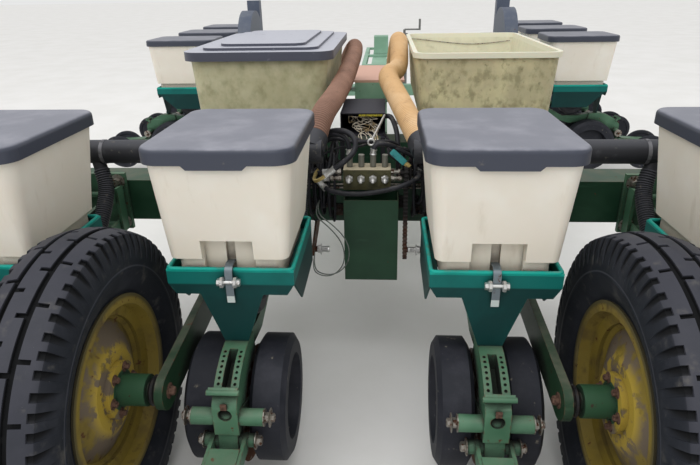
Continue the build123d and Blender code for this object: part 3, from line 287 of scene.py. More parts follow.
def joined(shapes):
    """Several (points, faces) as one."""
    counts = np.cumsum([0] + [len(points) for points, faces in shapes[:-1]])
    faces = [faces + count for (points, faces), count in zip(shapes, counts)]
    return np.concatenate([points for points, faces in shapes]), np.concatenate(faces)


def turned_to(shape, axis):
    """A shape made along X, along another axis: X, Y or Z, or minus one of them."""
    points, faces = shape
    order = {"X": (0, 1, 2), "Y": (2, 0, 1), "Z": (1, 2, 0)}[axis[-1]]
    points = points[:, order]
    if axis[0] == "-":
        points = points * np.where(np.array(order) == 0, -1, 1)
        faces = faces[:, ::-1]
    return points, faces


def at_places(shape, places, axis="X"):
    """The shape once at each place, turned from X to the axis."""
    points, faces = turned_to(shape, axis)
    places = np.array(places, float).reshape(-1, 3)
    first = np.arange(len(places))[:, None, None] * len(points)
    return (places[:, None] + points).reshape(-1, 3), (first + faces).reshape(-1, faces.shape[1])


def piece(name, shape, material, body="frame", slot="bare_steel", smooth=30.0, **marks):
    """A new piece of the scene from its points and faces, on its body. Its slot argument is not used.

    Points that lie on each other, as at a pole, are merged into one. A mark is a number for each point.
    """
    points, faces = shape
    mesh = bpy.data.meshes.new(name)
    mesh.from_pydata(points.tolist(), [], faces.tolist())
    for mark, values in marks.items():
        mesh.attributes.new(mark, "FLOAT", "POINT").data.foreach_set("value", np.ravel(values))
    merged = bmesh.new()
    merged.from_mesh(mesh)
    bmesh.ops.remove_doubles(merged, verts=merged.verts, dist=MERGE)
    merged.to_mesh(mesh)
    merged.free()
    mesh.shade_smooth()
    mesh.set_sharp_from_angle(angle=radians(smooth))
    made = bpy.data.objects.new(name, mesh)
    bpy.context.scene.collection.objects.link(made)
    made.data.materials.append(material)
    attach(made, body)
    return made


def hex_bolt(across, head, washer=True):
    """A hexagon head seen along +X, standing on x = 0, with its washer under it."""
    corner = across / 2 / np.cos(pi / 6)
    thick = 0.12 * across if washer else 0.0
    top = thick + head
    sides = [(thick, corner), (top - head * 0.2, corner), (top, across * 0.44)]
    shapes = [turned([(thick, 0), *sides, (top, 0)], 6)]
    if washer:
        rim = [(0, across), (thick * 0.7, across), (thick, across * 0.93)]
        shapes.append(turned([(0, 0), *rim, (thick, 0)], 20))
    return joined(shapes)


def patchy(name, colour, rough, *rows, metal=0.0, gloss=0.35):
    """A finish of one colour under blotches, each a row of the values that Finish.blotches takes."""
    made = Finish(name, colour, rough, metal, gloss)
    for row in rows:
        made.blotches(*row)
    return made.done()


bolt_steel = patchy("old bolt steel", (150, 146, 138), 0.42, (0.012, 5.0, 0.5, 0.62, RUST, 0.85),
                    (0.03, 3.0, 0.55, 0.75, DUST, 0.8), metal=0.85)

ROW_HEAD = (0.078, 0.092)
ROW_HEAD_BOLT = (0.030, 0.016)
bar_low, bar_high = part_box("rear_bar")
BAR_Y = -1.86425
BAR_Z = (bar_low.z + bar_high.z) / 2
HEAD_REAR = -0.1093
WING_X = 0.870


def middle_of(node):
    low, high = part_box(node)
    return (low + high) / 2


centre_rows = [middle_of(f"gauge_wheels_{row}").x for row in range(1, 7)]
wing_rows = [middle_of(f"gauge_wheels_wing_left_{row}").y for row in range(1, 4)]


def on_rows(shape):
    """A row's piece, given about the bar's centreline, at each row: for each body, its points and faces.

    On a wing the rows stand along the folded bar, a quarter turn round the upright axis, and face outwards.
    """
    points, faces = shape
    copies = {"frame": at_places(shape, [(x, BAR_Y, 0) for x in centre_rows])}
    for side, sign in (("left", -1), ("right", 1)):
        outwards = np.stack([sign * (WING_X - points[:, 1]), sign * points[:, 0], points[:, 2]], 1)
        copies[f"wing_{side}"] = at_places((outwards, faces), [(0, y, 0) for y in wing_rows])
    return copies


def row_pieces(name, shape, material, slot="bare_steel", smooth=30.0):
    for body, copy in on_rows(shape).items():
        piece(f"{name}_{body}", copy, material, body, slot, smooth)


head_places = [(side * ROW_HEAD[0], HEAD_REAR, BAR_Z + rise * ROW_HEAD[1])
               for side in (-1, 1) for rise in (-1, 1)]
row_pieces("row_head_bolts", at_places(hex_bolt(*ROW_HEAD_BOLT), head_places, "-Y"), bolt_steel)


# Transport tyres. Bias implement tyres of dull black rubber: a wide middle rib with short cross slots, two
# deep grooves, shoulder ribs whose outer edges are notched down the side wall, and a thin ring moulded above
# the bead.

TYRE_R = 0.4722
TREAD_HALF = 0.090
SHOULDER_DROP = 0.018
SIDE_HALF = 0.1052
BEAD = (0.071, 0.284)
BEAD_SEAT_R = 0.2563
PITCHES = 22
GROOVE = (0.0245, 0.0405, 0.012)
TREAD_CREASES = (0.003, 0.0035, 0.0245, 0.0255, 0.0395, 0.0405, 0.066, 0.0665, 0.078)
WALL_SHARES = (0.02, 0.06, 0.11, 0.16, 0.21, 0.27, 0.34, 0.42, 0.5, 0.56, 0.575, 0.59, 0.605, 0.66, 0.76,
               0.86, 0.94, 1.0)
SLOTS = (
    # middle in the pitch, half width in pitches, from x, to x, depth; the planter's middle is at positive x
    (0.08, 0.040, 0.0035, 0.0245, 0.011),
    (0.58, 0.040, -0.0245, -0.0035, 0.011),
    (0.30, 0.035, 0.0405, 0.066, 0.010),
    (0.80, 0.035, -0.066, -0.0405, 0.010),
)
NOTCHES = (0.10, 0.42, 0.74)
NOTCH_HALF, NOTCH_DEPTH, NOTCH_REACH = 0.075, 0.010, 0.40
RIDGE_AT, RIDGE_HALF, RIDGE_HEIGHT = 0.582, 0.012, 0.0016


def arc_through(first, middle, last, share):
    """Points of the circle through three points of the profile, at each share of the way along it."""
    a, b, c = (np.array(point) for point in (first, middle, last))
    centre = np.linalg.solve(np.array([b - a, c - a]), [(b @ b - a @ a) / 2, (c @ c - a @ a) / 2])
    start, end = (np.arctan2(*(point - centre)[::-1]) for point in (a, c))
    sweep = (end - start + pi) % tau - pi
    angle = start + sweep * np.array(share)
    return centre + np.linalg.norm(a - centre) * np.stack([np.cos(angle), np.sin(angle)], 1)


def tyre(centre, inner):
    """The tyre turned about its axle: a crowned tread and round walls, cut by grooves, slots and notches.

    A point at share s across the profile and at angle a round the axle lies on the smooth tyre, less the
    depth of whichever cut it is in, along the profile's normal. The inner side has x of the sign given.
    """
    creases = np.array(TREAD_CREASES)
    across = np.unique(np.concatenate([np.linspace(-1, 1, 13) * TREAD_HALF, -creases, creases]))
    crown = np.stack([across, TYRE_R - SHOULDER_DROP * (across / TREAD_HALF) ** 2], 1)
    share = np.array(WALL_SHARES)
    wall = arc_through((TREAD_HALF, TYRE_R - SHOULDER_DROP), (SIDE_HALF, (BEAD[1] + TYRE_R) / 2), BEAD, share)
    seat = np.array([(BEAD[0], BEAD_SEAT_R), (-BEAD[0], BEAD_SEAT_R)])
    profile = np.concatenate([crown, wall, seat, wall[::-1] * (-1, 1)])
    down = np.concatenate([np.zeros(len(crown)), share, [2, 2], share[::-1]])[:, None]
    tangent = np.roll(profile, -1, 0) - np.roll(profile, 1, 0)
    normal = np.stack([-tangent[:, 1], tangent[:, 0]], 1) / np.linalg.norm(tangent, axis=1)[:, None]

    marks = [(middle, half) for middle, half, *rest in SLOTS] + [(middle, NOTCH_HALF) for middle in NOTCHES]
    edges = [middle + sign * (half + slack) for middle, half in marks for sign in (-1, 1)
             for slack in (0, 0.008)]
    steps = np.unique(np.round(np.concatenate([edges, np.linspace(0, 1, 8, endpoint=False)]) % 1, 4))
    turns = (np.arange(PITCHES)[:, None] + steps[None]).ravel()
    phase = turns % 1

    x = profile[:, 0:1]
    tread = down == 0
    inside = tread & (abs(x) > GROOVE[0] + 0.0005) & (abs(x) < GROOVE[1] - 0.0005)
    depth = np.repeat(np.where(inside, GROOVE[2], 0.0), len(turns), 1)
    for middle, half, low, high, deep in SLOTS:
        inside = (abs(phase - middle) < half + 0.004) & tread & (x > low - 1e-4) & (x < high + 1e-4)
        depth = np.where(inside, np.maximum(depth, deep), depth)
    fade = np.clip(1 - down / NOTCH_REACH, 0, 1) ** 0.8 * (abs(x) > 0.077)
    for middle in NOTCHES:
        tooth = (phase - middle + NOTCH_HALF) / (2 * NOTCH_HALF)
        inside = (tooth > -0.02) & (tooth < 1.02)
        notch = NOTCH_DEPTH * fade * (0.35 + 0.65 * np.clip(tooth, 0, 1))
        depth = np.where(inside, np.maximum(depth, notch), depth)
    cut = depth - RIDGE_HEIGHT * np.exp(-((down - RIDGE_AT) / RIDGE_HALF) ** 2)
    out = inner * (x - normal[:, 0:1] * cut)
    radius = profile[:, 1:2] - normal[:, 1:2] * cut
    angle = turns * tau / PITCHES
    points = np.stack([out, radius * np.sin(angle), radius * np.cos(angle)], -1)
    faces = grid_faces(len(profile), len(turns), True, True)
    return (points.reshape(-1, 3) + centre, faces if inner > 0 else faces[:, ::-1]), depth


RING_R, RING_HALF = 0.361, 0.004
WHEELS = [(f"{side}_{number}", inner) for side, inner in (("left", 1), ("right", -1)) for number in (1, 2)]


def wheel_middle(wheel):
    axle = middle_of(f"rim_{wheel}")
    return np.array([middle_of(f"tyre_{wheel}").x, axle.y, axle.z])


def from_axle(finish, middle):
    """How far from the axle's line a place lies, and where along it, counted from the wheel's middle."""
    wheel = finish.from_middle(middle)
    squares = [finish.sum("POWER", finish.part(axis, wheel), 2.0) for axis in ("Y", "Z")]
    return finish.sum("SQRT", finish.sum("ADD", *squares)), finish.part("X", wheel)


def tyre_rubber(name, middle):
    """Old rubber: grey where the tread runs, painted nearly black in its cuts as the shade in them, with dust
    and pale scuffs.
    """
    rubber = Finish(name, (31, 34, 41), 0.66, gloss=0.22)
    radius = from_axle(rubber, middle)[0]
    rubber.layer(rubber.ramp(radius, 0.448, 0.460), (52, 53, 61), 0.5)
    rubber.blotches(0.10, 5.0, 0.42, 0.75, (45, 47, 54))
    ring = [rubber.ramp(radius, RING_R + side * RING_HALF, RING_R) for side in (-1, 1)]
    rubber.layer(rubber.both(*ring), (74, 76, 84), 0.6, 0.7)
    rubber.blotches(0.05, 8.0, 0.56, 0.80, (98, 95, 90), 0.85, 0.65, shift=(3, 1, 2))
    rubber.blotches(0.008, 2.0, 0.79, 0.83, (176, 174, 170), 0.9)
    # Painted shade: nearly black in the cuts, by their depth.
    rubber.layer(rubber.ramp(rubber.mark("cut"), 0.001, 0.006), (16, 17, 19), 0.9)
    rubber.raise_by(rubber.grain(0.003, 3.0), 0.00012)
    return rubber.done()


for wheel, inner in WHEELS:
    middle = wheel_middle(wheel)
    shape, cut = tyre(middle, inner)
    rubber = tyre_rubber(f"tyre rubber {wheel.replace('_', ' ')}", middle)
    made = piece(f"tread_{wheel}", shape, rubber, f"wheel_{wheel}", "tyre", 35.0, cut=cut)
    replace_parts(made, f"tyre_{wheel}")


# Wheel rims. Pressed steel with a deep well and a dished disc, painted yellow, most of it dull and rusty, and
# the bare primer of the disc shows above the hub. The hub is a green casting, held by a ring of six rusty
# nuts.

HUB_R = 0.060
NUT_RING_R = 0.066
NUT_SEAT_X = 0.072
WHEEL_NUT = (0.016, 0.012)


def rim_paint(name, middle, inner):
    """Yellow paint over primer, with painted shade in the well by the tyre and in the crevices, and the green
    hub on the planter's side.
    """
    paint = Finish(name, (132, 114, 46), 0.55)
    radius, along = from_axle(paint, middle)
    paint.blotches(0.12, 5.0, 0.42, 0.72, (104, 88, 48), 0.7, shift=(1, 4, 2))
    paint.blotches(0.06, 7.0, 0.56, 0.72, (82, 68, 44), 0.8, stretch=(1.0, 1.0, 2.0), shift=(2, 3, 5))
    paint.blotches(0.07, 6.0, 0.40, 0.52, (108, 96, 82), 0.75, paint.ramp(radius, 0.205, 0.19))
    paint.blotches(0.05, 7.0, 0.44, 0.50, (168, 144, 56), 0.6, paint.ramp(radius, 0.150, 0.115))
    paint.blotches(0.03, 8.0, 0.62, 0.69, RUST, 0.85)
    # Painted shade: darker in the well by the tyre.
    paint.layer(paint.ramp(radius, 0.262, 0.275), (84, 76, 46), 0.8)
    face = paint.ramp(paint.both(along, float(inner)), 0.040, 0.044)
    hub = paint.both(paint.ramp(radius, HUB_R, HUB_R - 0.002), face)
    paint.layer(hub, (40, 76, 52), 0.5)
    paint.blotches(0.02, 7.0, 0.62, 0.70, DARK_RUST, 0.85, hub)
    # Painted shade, with some grime, in the crevices.
    paint.layer(paint.crevices(0.05), SHADE_AND_GRIME, 0.9, 0.7)
    return paint.done()


FACING = {1: "X", -1: "-X"}
rusty_nut = patchy("rusty nut", (92, 68, 56), 0.8, (0.008, 4.0, 0.45, 0.65, DARK_RUST, 0.9))
angle = np.arange(6) * tau / 6
around = (NUT_RING_R * np.cos(angle), NUT_RING_R * np.sin(angle))
for wheel, inner in WHEELS:
    middle = wheel_middle(wheel)
    finish_nodes(rim_paint(f"rim paint {wheel.replace('_', ' ')}", middle, inner), f"rim_{wheel}")
    ring = np.stack([np.full(6, inner * NUT_SEAT_X), *around], 1)
    nuts = at_places(hex_bolt(*WHEEL_NUT), ring + middle, FACING[inner])
    piece(f"wheel_nuts_{wheel}", nuts, rusty_nut, f"wheel_{wheel}")


# Wheel arms. Flat steel plates that slope down from the bar to the spindles, darker green than the shanks,
# each with the rusty head of its spindle bolt on the planter's side. A greasy seal sits on each spindle at
# the hub.

ARM_INNER_X = (0.552, 1.314)
ARM_OUTER_X = (0.5772, 1.3392)
SPINDLE_BOLT = (0.023, 0.015)
SEAL = ((0, 0.0258), (0, 0.0400), (0.006, 0.0450), (0.011, 0.0420), (0.017, 0.0455), (0.023, 0.0400),
        (0.0262, 0.0340), (0.0262, 0.0258))

finish_nodes(worn_paint("arm green", (30, 58, 38), (46, 74, 52), 0.9), "wheel_arms")
greasy_rubber = patchy("greasy seal", (22, 22, 24), 0.5, (0.02, 6.0, 0.5, 0.65, (52, 44, 38), 0.85),
                       gloss=0.3)
spindle = wheel_middle("left_1")[1:]
for side, sign in (("right", 1), ("left", -1)):
    heads = at_places(hex_bolt(*SPINDLE_BOLT), [(sign * x, *spindle) for x in ARM_INNER_X], FACING[-sign])
    piece(f"spindle_bolts_{side}", heads, rusty_nut)
    seals = at_places(turned(SEAL, 28), [(sign * x, *spindle) for x in ARM_OUTER_X], FACING[sign])
    piece(f"spindle_seals_{side}", seals, greasy_rubber, slot="hose_rubber")


# Row units. Cast shanks with a curved depth quadrant, plate arms and bosses in a paler green, rubbed bare and
# rusty round the quadrant's slot and holes. Washers and nuts close the pivots.

HANDLE_END = 0.046
HANDLE_LONG = 0.070
HANDLE_AXIS = (-1.098, 0.505)
HANDLE_REACH = 0.0095
GAUGE_PIVOT = (0.1052, -1.075, 0.402)
CLOSE_PIVOT = (0.0752, -1.080, 0.320)
DEPTH_NUT = (0, -1.1052, 0.462)
WASHER_X, END_NUT_X = 0.0165, 0.0195
# Its long reach paints shade, with some grime, deep in the holes and the quadrant's slot.
shank_green = worn_paint("shank green", (62, 102, 77), (84, 122, 96), 0.9, 0.35, (0.07, 0.78))


def with_short_handle(node, rows, row_axis, bar_axis, bar_at, sign):
    """The row frames' own mesh, with the ends of each handle's bar drawn in to just past the quadrant."""
    mesh = frame["nodes"][node].data
    points = np.zeros(len(mesh.vertices) * 3)
    mesh.vertices.foreach_get("co", points)
    points = points.reshape(-1, 3)
    corners = np.zeros(len(mesh.loops), int)
    mesh.loops.foreach_get("vertex_index", corners)
    nearest = np.array(rows)[np.argmin(abs(points[:, row_axis, None] - np.array(rows)), axis=1)]
    beside = points[:, row_axis] - nearest
    behind = (points[:, bar_axis] - bar_at) * sign - HANDLE_AXIS[0]
    near = np.hypot(behind, points[:, 2] - HANDLE_AXIS[1]) < HANDLE_REACH
    drawn_in = np.where(near & (abs(beside) > HANDLE_LONG), np.sign(beside) * HANDLE_END, beside)
    points[:, row_axis] = nearest + drawn_in
    return points, corners.reshape(-1, 3)


for where, body, *along_bar in (("centre", "frame", centre_rows, 0, 1, BAR_Y, 1),
                                ("left", "wing_left", wing_rows, 1, 0, -WING_X, 1),
                                ("right", "wing_right", wing_rows, 1, 0, WING_X, -1)):
    node = f"row_frames_{where}"
    castings = with_short_handle(node, *along_bar)
    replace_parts(piece(f"row_castings_{where}", castings, shank_green, body, "shank_green"), node)

washer = turned([(0, 0), (0, 0.027), (0.002, 0.028), (0.003, 0.026), (0.003, 0)], 24)
pivot_stack = joined([hex_bolt(0.026, 0.013), at_places(washer, (WASHER_X, 0, 0)),
                      at_places(hex_bolt(0.023, 0.012, False), (END_NUT_X, 0, 0))])
for side, sign in (("right", 1), ("left", -1)):
    for name, stack, place in (("pivot_nuts", pivot_stack, GAUGE_PIVOT),
                               ("closing_nuts", hex_bolt(0.026, 0.016), CLOSE_PIVOT)):
        sided = at_places(stack, np.array(place) * (sign, 1, 1), FACING[sign])
        row_pieces(f"{name}_{side}", sided, bolt_steel)

square_nut = turned([(0, 0), (0, 0.0125), (0.006, 0.0125), (0.0075, 0.0105), (0.0075, 0)], 4, pi / 4)
row_pieces("depth_nuts", at_places(square_nut, DEPTH_NUT, "-Y"), rusty_nut)


# Opener discs, gauge wheels and closing wheels. Ground steel discs, and smooth black rubber on dark steel
# wheels, dusty with dry soil.

disc_steel = patchy("opener disc steel", (120, 112, 102), 0.4, (0.05, 6.0, 0.35, 0.5, RUST, 0.85),
                    (0.02, 4.0, 0.6, 0.7, DUST, 0.95), metal=0.8)
finish_nodes(disc_steel, "opener_discs")

rubber = Finish("wheel rubber", (34, 36, 43), 0.62, gloss=0.22)
rubber.blotches(0.09, 5.0, 0.42, 0.75, (50, 51, 58), 0.7)
rubber.blotches(0.03, 8.0, 0.64, 0.74, DUST, 0.9)
rubber.blotches(0.007, 2.0, 0.79, 0.83, (180, 178, 172), 0.9)
rubber.raise_by(rubber.grain(0.004, 3.0), 0.0002)
finish_nodes(rubber.done(), "gauge_wheels", "closing_wheels")


# Hopper supports. Folded steel sheet in teal paint, with rust where the sheet is folded. The rail's rolled
# rim is painted bright as a highlight, and the panels under it are painted dark as the shade under the
# hopper.

RAIL_HALF = 0.187
RAIL_Y = (-0.910, -0.500)
RAIL_TOP = 0.792
ROLL_R = 0.0065
ROLL_INSET = ROLL_R - 0.002
ROLL_CORNER = 0.012


def closed_tube(path, radius, steps):
    """A tube round a closed flat path: at each point a circle in the plane of Z and the path's normal."""
    along = np.roll(path, -1, 0) - np.roll(path, 1, 0)
    along /= np.linalg.norm(along, axis=1)[:, None]
    outwards = np.stack([along[:, 1], -along[:, 0], 0 * along[:, 0]], 1)
    angle = (np.arange(steps) * tau / steps)[None, :, None]
    ring = outwards[:, None] * np.cos(angle) + np.array((0, 0, 1)) * np.sin(angle)
    return (path[:, None] + ring * radius).reshape(-1, 3), grid_faces(len(path), steps, True, True)


def rounded_rectangle(x, y, z, corner, steps):
    """A closed path, anticlockwise from its right rear corner: straight sides and a quarter circle each."""
    low_x, high_x, low_y, high_y = x[0] + corner, x[1] - corner, y[0] + corner, y[1] - corner
    arcs = []
    for turn, centre in enumerate(((high_x, low_y), (high_x, high_y), (low_x, high_y), (low_x, low_y))):
        angle = (turn - 1) * pi / 2 + np.linspace(0, pi / 2, steps)
        around = [middle + corner * wave for middle, wave in zip(centre, (np.cos(angle), np.sin(angle)))]
        arcs.append(np.stack([*around, 0 * angle + z], 1))
    return np.concatenate(arcs)


# Painted shade: the base is the panels' dark under the hopper; the rail's face goes over it.
teal = Finish("support teal", (4, 50, 49), 0.5, gloss=0.2)
teal.layer(teal.ramp(teal.part("Z"), 0.742, 0.748), (4, 98, 92), 0.45)
# Painted highlight: the rolled rim is coloured bright teal.
teal.layer(teal.ramp(teal.part("Z"), 0.7845, 0.7865), (14, 152, 138), 0.4)
teal.blotches(0.16, 4.0, 0.45, 0.75, (4, 68, 66), 0.55, 0.5)
teal.blotches(0.02, 6.0, 0.54, 0.64, (70, 130, 112), 0.6, teal.edges(0.003))
teal.blotches(0.03, 8.0, 0.72, 0.78, RUST, 0.85)
teal.blotches(0.04, 5.0, 0.4, 0.8, DUST, 0.9, teal.both(teal.facing_up(), 0.5))
# Painted shade, with some grime, in the crevices.
teal.layer(teal.crevices(0.03), SHADE_AND_GRIME, 0.9, 0.8)
teal_sheet = teal.done()
finish_nodes(teal_sheet, "hopper_supports")
roll_x = RAIL_HALF - ROLL_INSET
roll_path = rounded_rectangle((-roll_x, roll_x), (RAIL_Y[0] + ROLL_INSET, RAIL_Y[1] - ROLL_INSET), RAIL_TOP,
                              ROLL_CORNER, 6)
row_pieces("rail_rolls", closed_tube(roll_path, ROLL_R, 12), teal_sheet, "teal_sheet", 60)


# Seed hoppers. Moulded cream polyethylene, chalky and slightly stained, with painted shade towards the feet,
# in the recess and in the hole at the bottom of the latch slot.

cream = Finish("hopper cream", (220, 213, 200), 0.55)
height = cream.part("Z")
cream.blotches(0.20, 3.0, 0.4, 0.8, (226, 222, 212), 0.6)
# Painted shade: darker towards the feet.
cream.layer(cream.ramp(height, 0.95, 0.74), (190, 178, 156), 0.65, 0.35)
cream.blotches(0.05, 7.0, 0.58, 0.75, (170, 156, 132), share=0.25, stretch=(1, 1, 4))
cream.blotches(0.006, 3.0, 0.80, 0.85, (120, 108, 92), 0.8)
# Painted shade in the recess, and a painted dark hole at the bottom of the latch slot.
cream.layer(cream.crevices(0.06), (140, 127, 108), 0.8, 0.40)
cream.layer(cream.both(cream.crevices(0.03), cream.ramp(height, 0.862, 0.838)), (50, 42, 34), 0.85, 0.85)
cream.shader.inputs["Subsurface Weight"].default_value = 0.05
cream.raise_by(cream.grain(0.01, 2.0), 0.00015)
finish_nodes(cream.done(), "seed_hoppers")


# Hopper lids. Moulded dark plastic, grey on top, partly bleached by the sun and partly a painted sheen of the
# sky, with a fine moulded grain and dry dust.

lid = Finish("lid plastic", (58, 62, 74), 0.42)
# Grey where it faces up: sun bleaching, and a painted sheen of the sky.
lid.layer(lid.facing_up(0.6, 0.98), (112, 114, 124), 0.5)
lid.blotches(0.12, 5.0, 0.4, 0.75, (134, 135, 144), 0.6, lid.facing_up())
lid.blotches(0.03, 8.0, 0.66, 0.78, DUST, 0.85, 0.5)
lid.raise_by(lid.grain(0.0025, 2.0), 0.00012)
finish_nodes(lid.done(), "hopper_lids")


# Latches. A steel strap hooks into the hopper's slot and comes down over the rail's rear, clamped on a cross
# pin with a nut at each end. Its lower end is dipped in white.

STRAP = (0.0225, 0.004)
STRAP_LINE = ((0, -0.860, 0.800), (0, -0.876, 0.806), (0, -0.901, 0.808), (0, -0.919, 0.799),
              (0, -0.9235, 0.778), (0, -0.923, 0.740), (0, -0.9215, 0.692))
TIP_TOP = 0.713
LATCH_PIN = (0, -0.9295, 0.762)
PIN_HALF, PIN_R = 0.034, 0.006
KNOB_X, CAP_X = 0.0195, 0.0295


def flat_strip(line, width, thick):
    """A strip of steel: the line in the Y-Z plane, given a width along X and a thickness across the line."""
    line = np.array(line)
    tangent = np.gradient(line, axis=0)
    across = np.stack([tangent[:, 1], -tangent[:, 0]], 1) / np.linalg.norm(tangent, axis=1)[:, None]
    ring = [(-width / 2, -1), (width / 2, -1), (width / 2, 1), (-width / 2, 1)]
    points = np.stack([np.concatenate([np.full((len(line), 1), x), line + across * side * thick / 2], 1)
                       for x, side in ring], 1)
    last = (len(line) - 1) * 4
    ends = np.array([[0, 1, 2, 3], [last + 3, last + 2, last + 1, last]])
    return points.reshape(-1, 3), np.concatenate([grid_faces(len(line), 4, False, True), ends])


def spline_line(points, steps=8):
    """Points along the smooth spline of order 3 with these control points, from the first to the last."""
    curve = bpy.data.curves.new("route", "CURVE")
    curve.dimensions = "3D"
    spline = curve.splines.new("NURBS")
    spline.points.add(len(points) - 1)
    spline.points.foreach_set("co", np.column_stack([points, np.ones(len(points))]).ravel())
    spline.order_u = 3
    spline.use_endpoint_u = True
    spline.resolution_u = steps
    route = bpy.data.objects.new("route", curve)
    mesh = bpy.data.meshes.new_from_object(route)
    line = np.zeros(len(mesh.vertices) * 3)
    mesh.vertices.foreach_get("co", line)
    bpy.data.objects.remove(route)
    bpy.data.meshes.remove(mesh)
    bpy.data.curves.remove(curve)
    return line.reshape(-1, 3)


bright_steel = patchy("bright steel", (206, 206, 204), 0.28, (0.01, 5.0, 0.58, 0.72, (128, 120, 110), 0.6),
                      metal=0.75)
latch = Finish("latch steel", (112, 122, 128), 0.4, 0.6)
latch.blotches(0.02, 6.0, 0.64, 0.74, RUST, 0.8)
latch.layer(latch.ramp(latch.part("Z"), TIP_TOP + 0.0015, TIP_TOP), (206, 214, 212), 0.6)
row_pieces("hopper_latches", flat_strip(spline_line(STRAP_LINE, 5)[:, 1:], *STRAP), latch.done())
knob = turned([(-0.006, 0), (-0.006, 0.012), (-0.004, 0.0165), (0.004, 0.0165), (0.006, 0.012),
               (0.006, 0)], 8)
cap = bar_between(-0.004, 0.004, 0.0110, 6)
latch_pin = joined([bar_between(-PIN_HALF, PIN_HALF, PIN_R, 12)] + [
    at_places(part, (side * out, 0, 0)) for side in (-1, 1) for part, out in ((knob, KNOB_X), (cap, CAP_X))])
row_pieces("latch_pins", at_places(latch_pin, LATCH_PIN), bright_steel)


# Seed meters, suction pipes and their hoses. Black moulded plastic gone grey in the sun, with a corrugated
# sleeve over each meter's hose and a pale band clamp on the pipe beside it.

METER_HOSE = (
    (-0.0850, -0.2500, 0.9400), (-0.1070, -0.2720, 0.8740), (-0.1221, -0.2947, 0.8226),
    (-0.1265, -0.3351, 0.7809), (-0.1284, -0.3931, 0.7307), (-0.1297, -0.4427, 0.6972),
    (-0.1300, -0.5021, 0.6900), (-0.1300, -0.5770, 0.6900),
)
RIB_PITCH = 0.0095
SLEEVE_R = (0.0275, 0.0305)
SLEEVE_ENDS = (0.050, 0.330)
BAND = ((-0.129, 0.0452), (-0.129, 0.0468), (-0.116, 0.0468), (-0.116, 0.0452))
PIPE_AT = (0, -0.250, 0.960)

black = Finish("black plastic", (42, 43, 47), 0.5, gloss=0.25)
black.layer(black.facing_up(0.3, 1.0), (66, 67, 72), 0.6)
black.blotches(0.05, 6.0, 0.55, 0.75, (64, 64, 68), 0.65)
black.blotches(0.02, 7.0, 0.6, 0.75, DUST, 0.9, 0.6)
black.raise_by(black.grain(0.003, 2.0), 0.0001)
black_plastic = black.done()
finish_nodes(black_plastic, "seed_meters", "vacuum_pipe")


def even_line(line, step):
    """The same line with its points a step apart, and how far along it each one lies."""
    length = np.concatenate([[0], np.cumsum(np.linalg.norm(np.diff(line, axis=0), axis=1))])
    marks = np.linspace(0, length[-1], max(2, int(length[-1] / step) + 1))
    return np.stack([np.interp(marks, length, line[:, axis]) for axis in range(3)], 1), marks


def tube_along(line, radius, steps, phase=0.0):
    """A round tube: at each point of the line a circle of its radius, square to it, closed at both ends.

    The circle's first direction is carried from point to point with the least turn, so nothing twists.
    """
    tangent = np.gradient(line, axis=0)
    tangent /= np.linalg.norm(tangent, axis=1)[:, None]
    first = np.cross(tangent[0], (0.31, 0.22, 0.92))
    sides = []
    for direction in tangent:
        first = first - direction * (first @ direction)
        first = first / np.linalg.norm(first)
        sides.append(first)
    sides = np.array(sides)
    angle = (phase + np.arange(steps) * tau / steps)[None, :, None]
    ring = sides[:, None] * np.cos(angle) + np.cross(tangent, sides)[:, None] * np.sin(angle)
    radius = np.concatenate([[0], np.broadcast_to(radius, len(line)), [0]])[:, None, None]
    line = np.concatenate([line[:1], line, line[-1:]])
    ring = np.concatenate([ring[:1], ring, ring[-1:]])
    return (line[:, None] + ring * radius).reshape(-1, 3), grid_faces(len(line), steps, False, True)


def handed_pieces(name, shape, material, slot="bare_steel", smooth=30.0):
    """A row's piece at each row, mirrored on the planter's left half, so it lies to the middle there too."""
    mirrored = (shape[0] * (-1, 1, 1), shape[1][:, ::-1])
    place = np.array([(x, BAR_Y, 0) for x in centre_rows])
    centre = joined([at_places(mirrored, place[place[:, 0] < 0]), at_places(shape, place[place[:, 0] > 0])])
    for body, copy in (("frame", centre), ("wing_left", on_rows(mirrored)["wing_left"]),
                       ("wing_right", on_rows(shape)["wing_right"])):
        piece(f"{name}_{body}", copy, material, body, slot, smooth)


sleeve_line, marks = even_line(spline_line(METER_HOSE, 12), RIB_PITCH / 4)
covered = (marks > SLEEVE_ENDS[0]) & (marks < SLEEVE_ENDS[1])
ribbed = np.interp(np.cos(marks * tau / RIB_PITCH), (-1, 1), SLEEVE_R)
sleeves = tube_along(sleeve_line[covered], ribbed[covered], 16)
handed_pieces("meter_hose_sleeves", sleeves, black_plastic, "black_plastic", 60)
band_steel = patchy("clamp band", (112, 112, 116), 0.5, (0.02, 5.0, 0.5, 0.7, (78, 78, 82), 0.7), metal=0.3)
handed_pieces("pipe_bands", at_places(turned(BAND, 32), PIPE_AT), band_steel)


# Meter drive. Hexagonal shafts, hangers and a roller chain, bare steel browned by rust. The chain's rollers
# stand out on both sides of it, and the shafts' inner ends carry bright collars and washers.

CHAIN_X = 0.150
CHAIN_ENDS = ((-0.200, 0.527), (-0.165, 0.850))
CHAIN_R = 0.0355
CHAIN_PITCH = 0.0159
ROLLER_HALF, ROLLER_R = 0.0085, 0.0046
COLLAR_X = 0.163


def about_bar(points):
    """Places given from the rear bar's middle, in the planter's frame."""
    return np.array(points, float) + (0, BAR_Y, 0)


rusty = Finish("rusty steel", (78, 66, 58), 0.55, 0.5)
rusty.blotches(0.03, 7.0, 0.40, 0.6, RUST, 0.9)
rusty.blotches(0.015, 5.0, 0.55, 0.68, DARK_RUST, 0.95, shift=(5, 2, 1))
rusty.layer(rusty.ramp(rusty.part("Z"), 0.62, 0.70), (36, 34, 34), 0.7)
rusty_steel = rusty.done()
finish_nodes(rusty_steel, "drive_shaft")

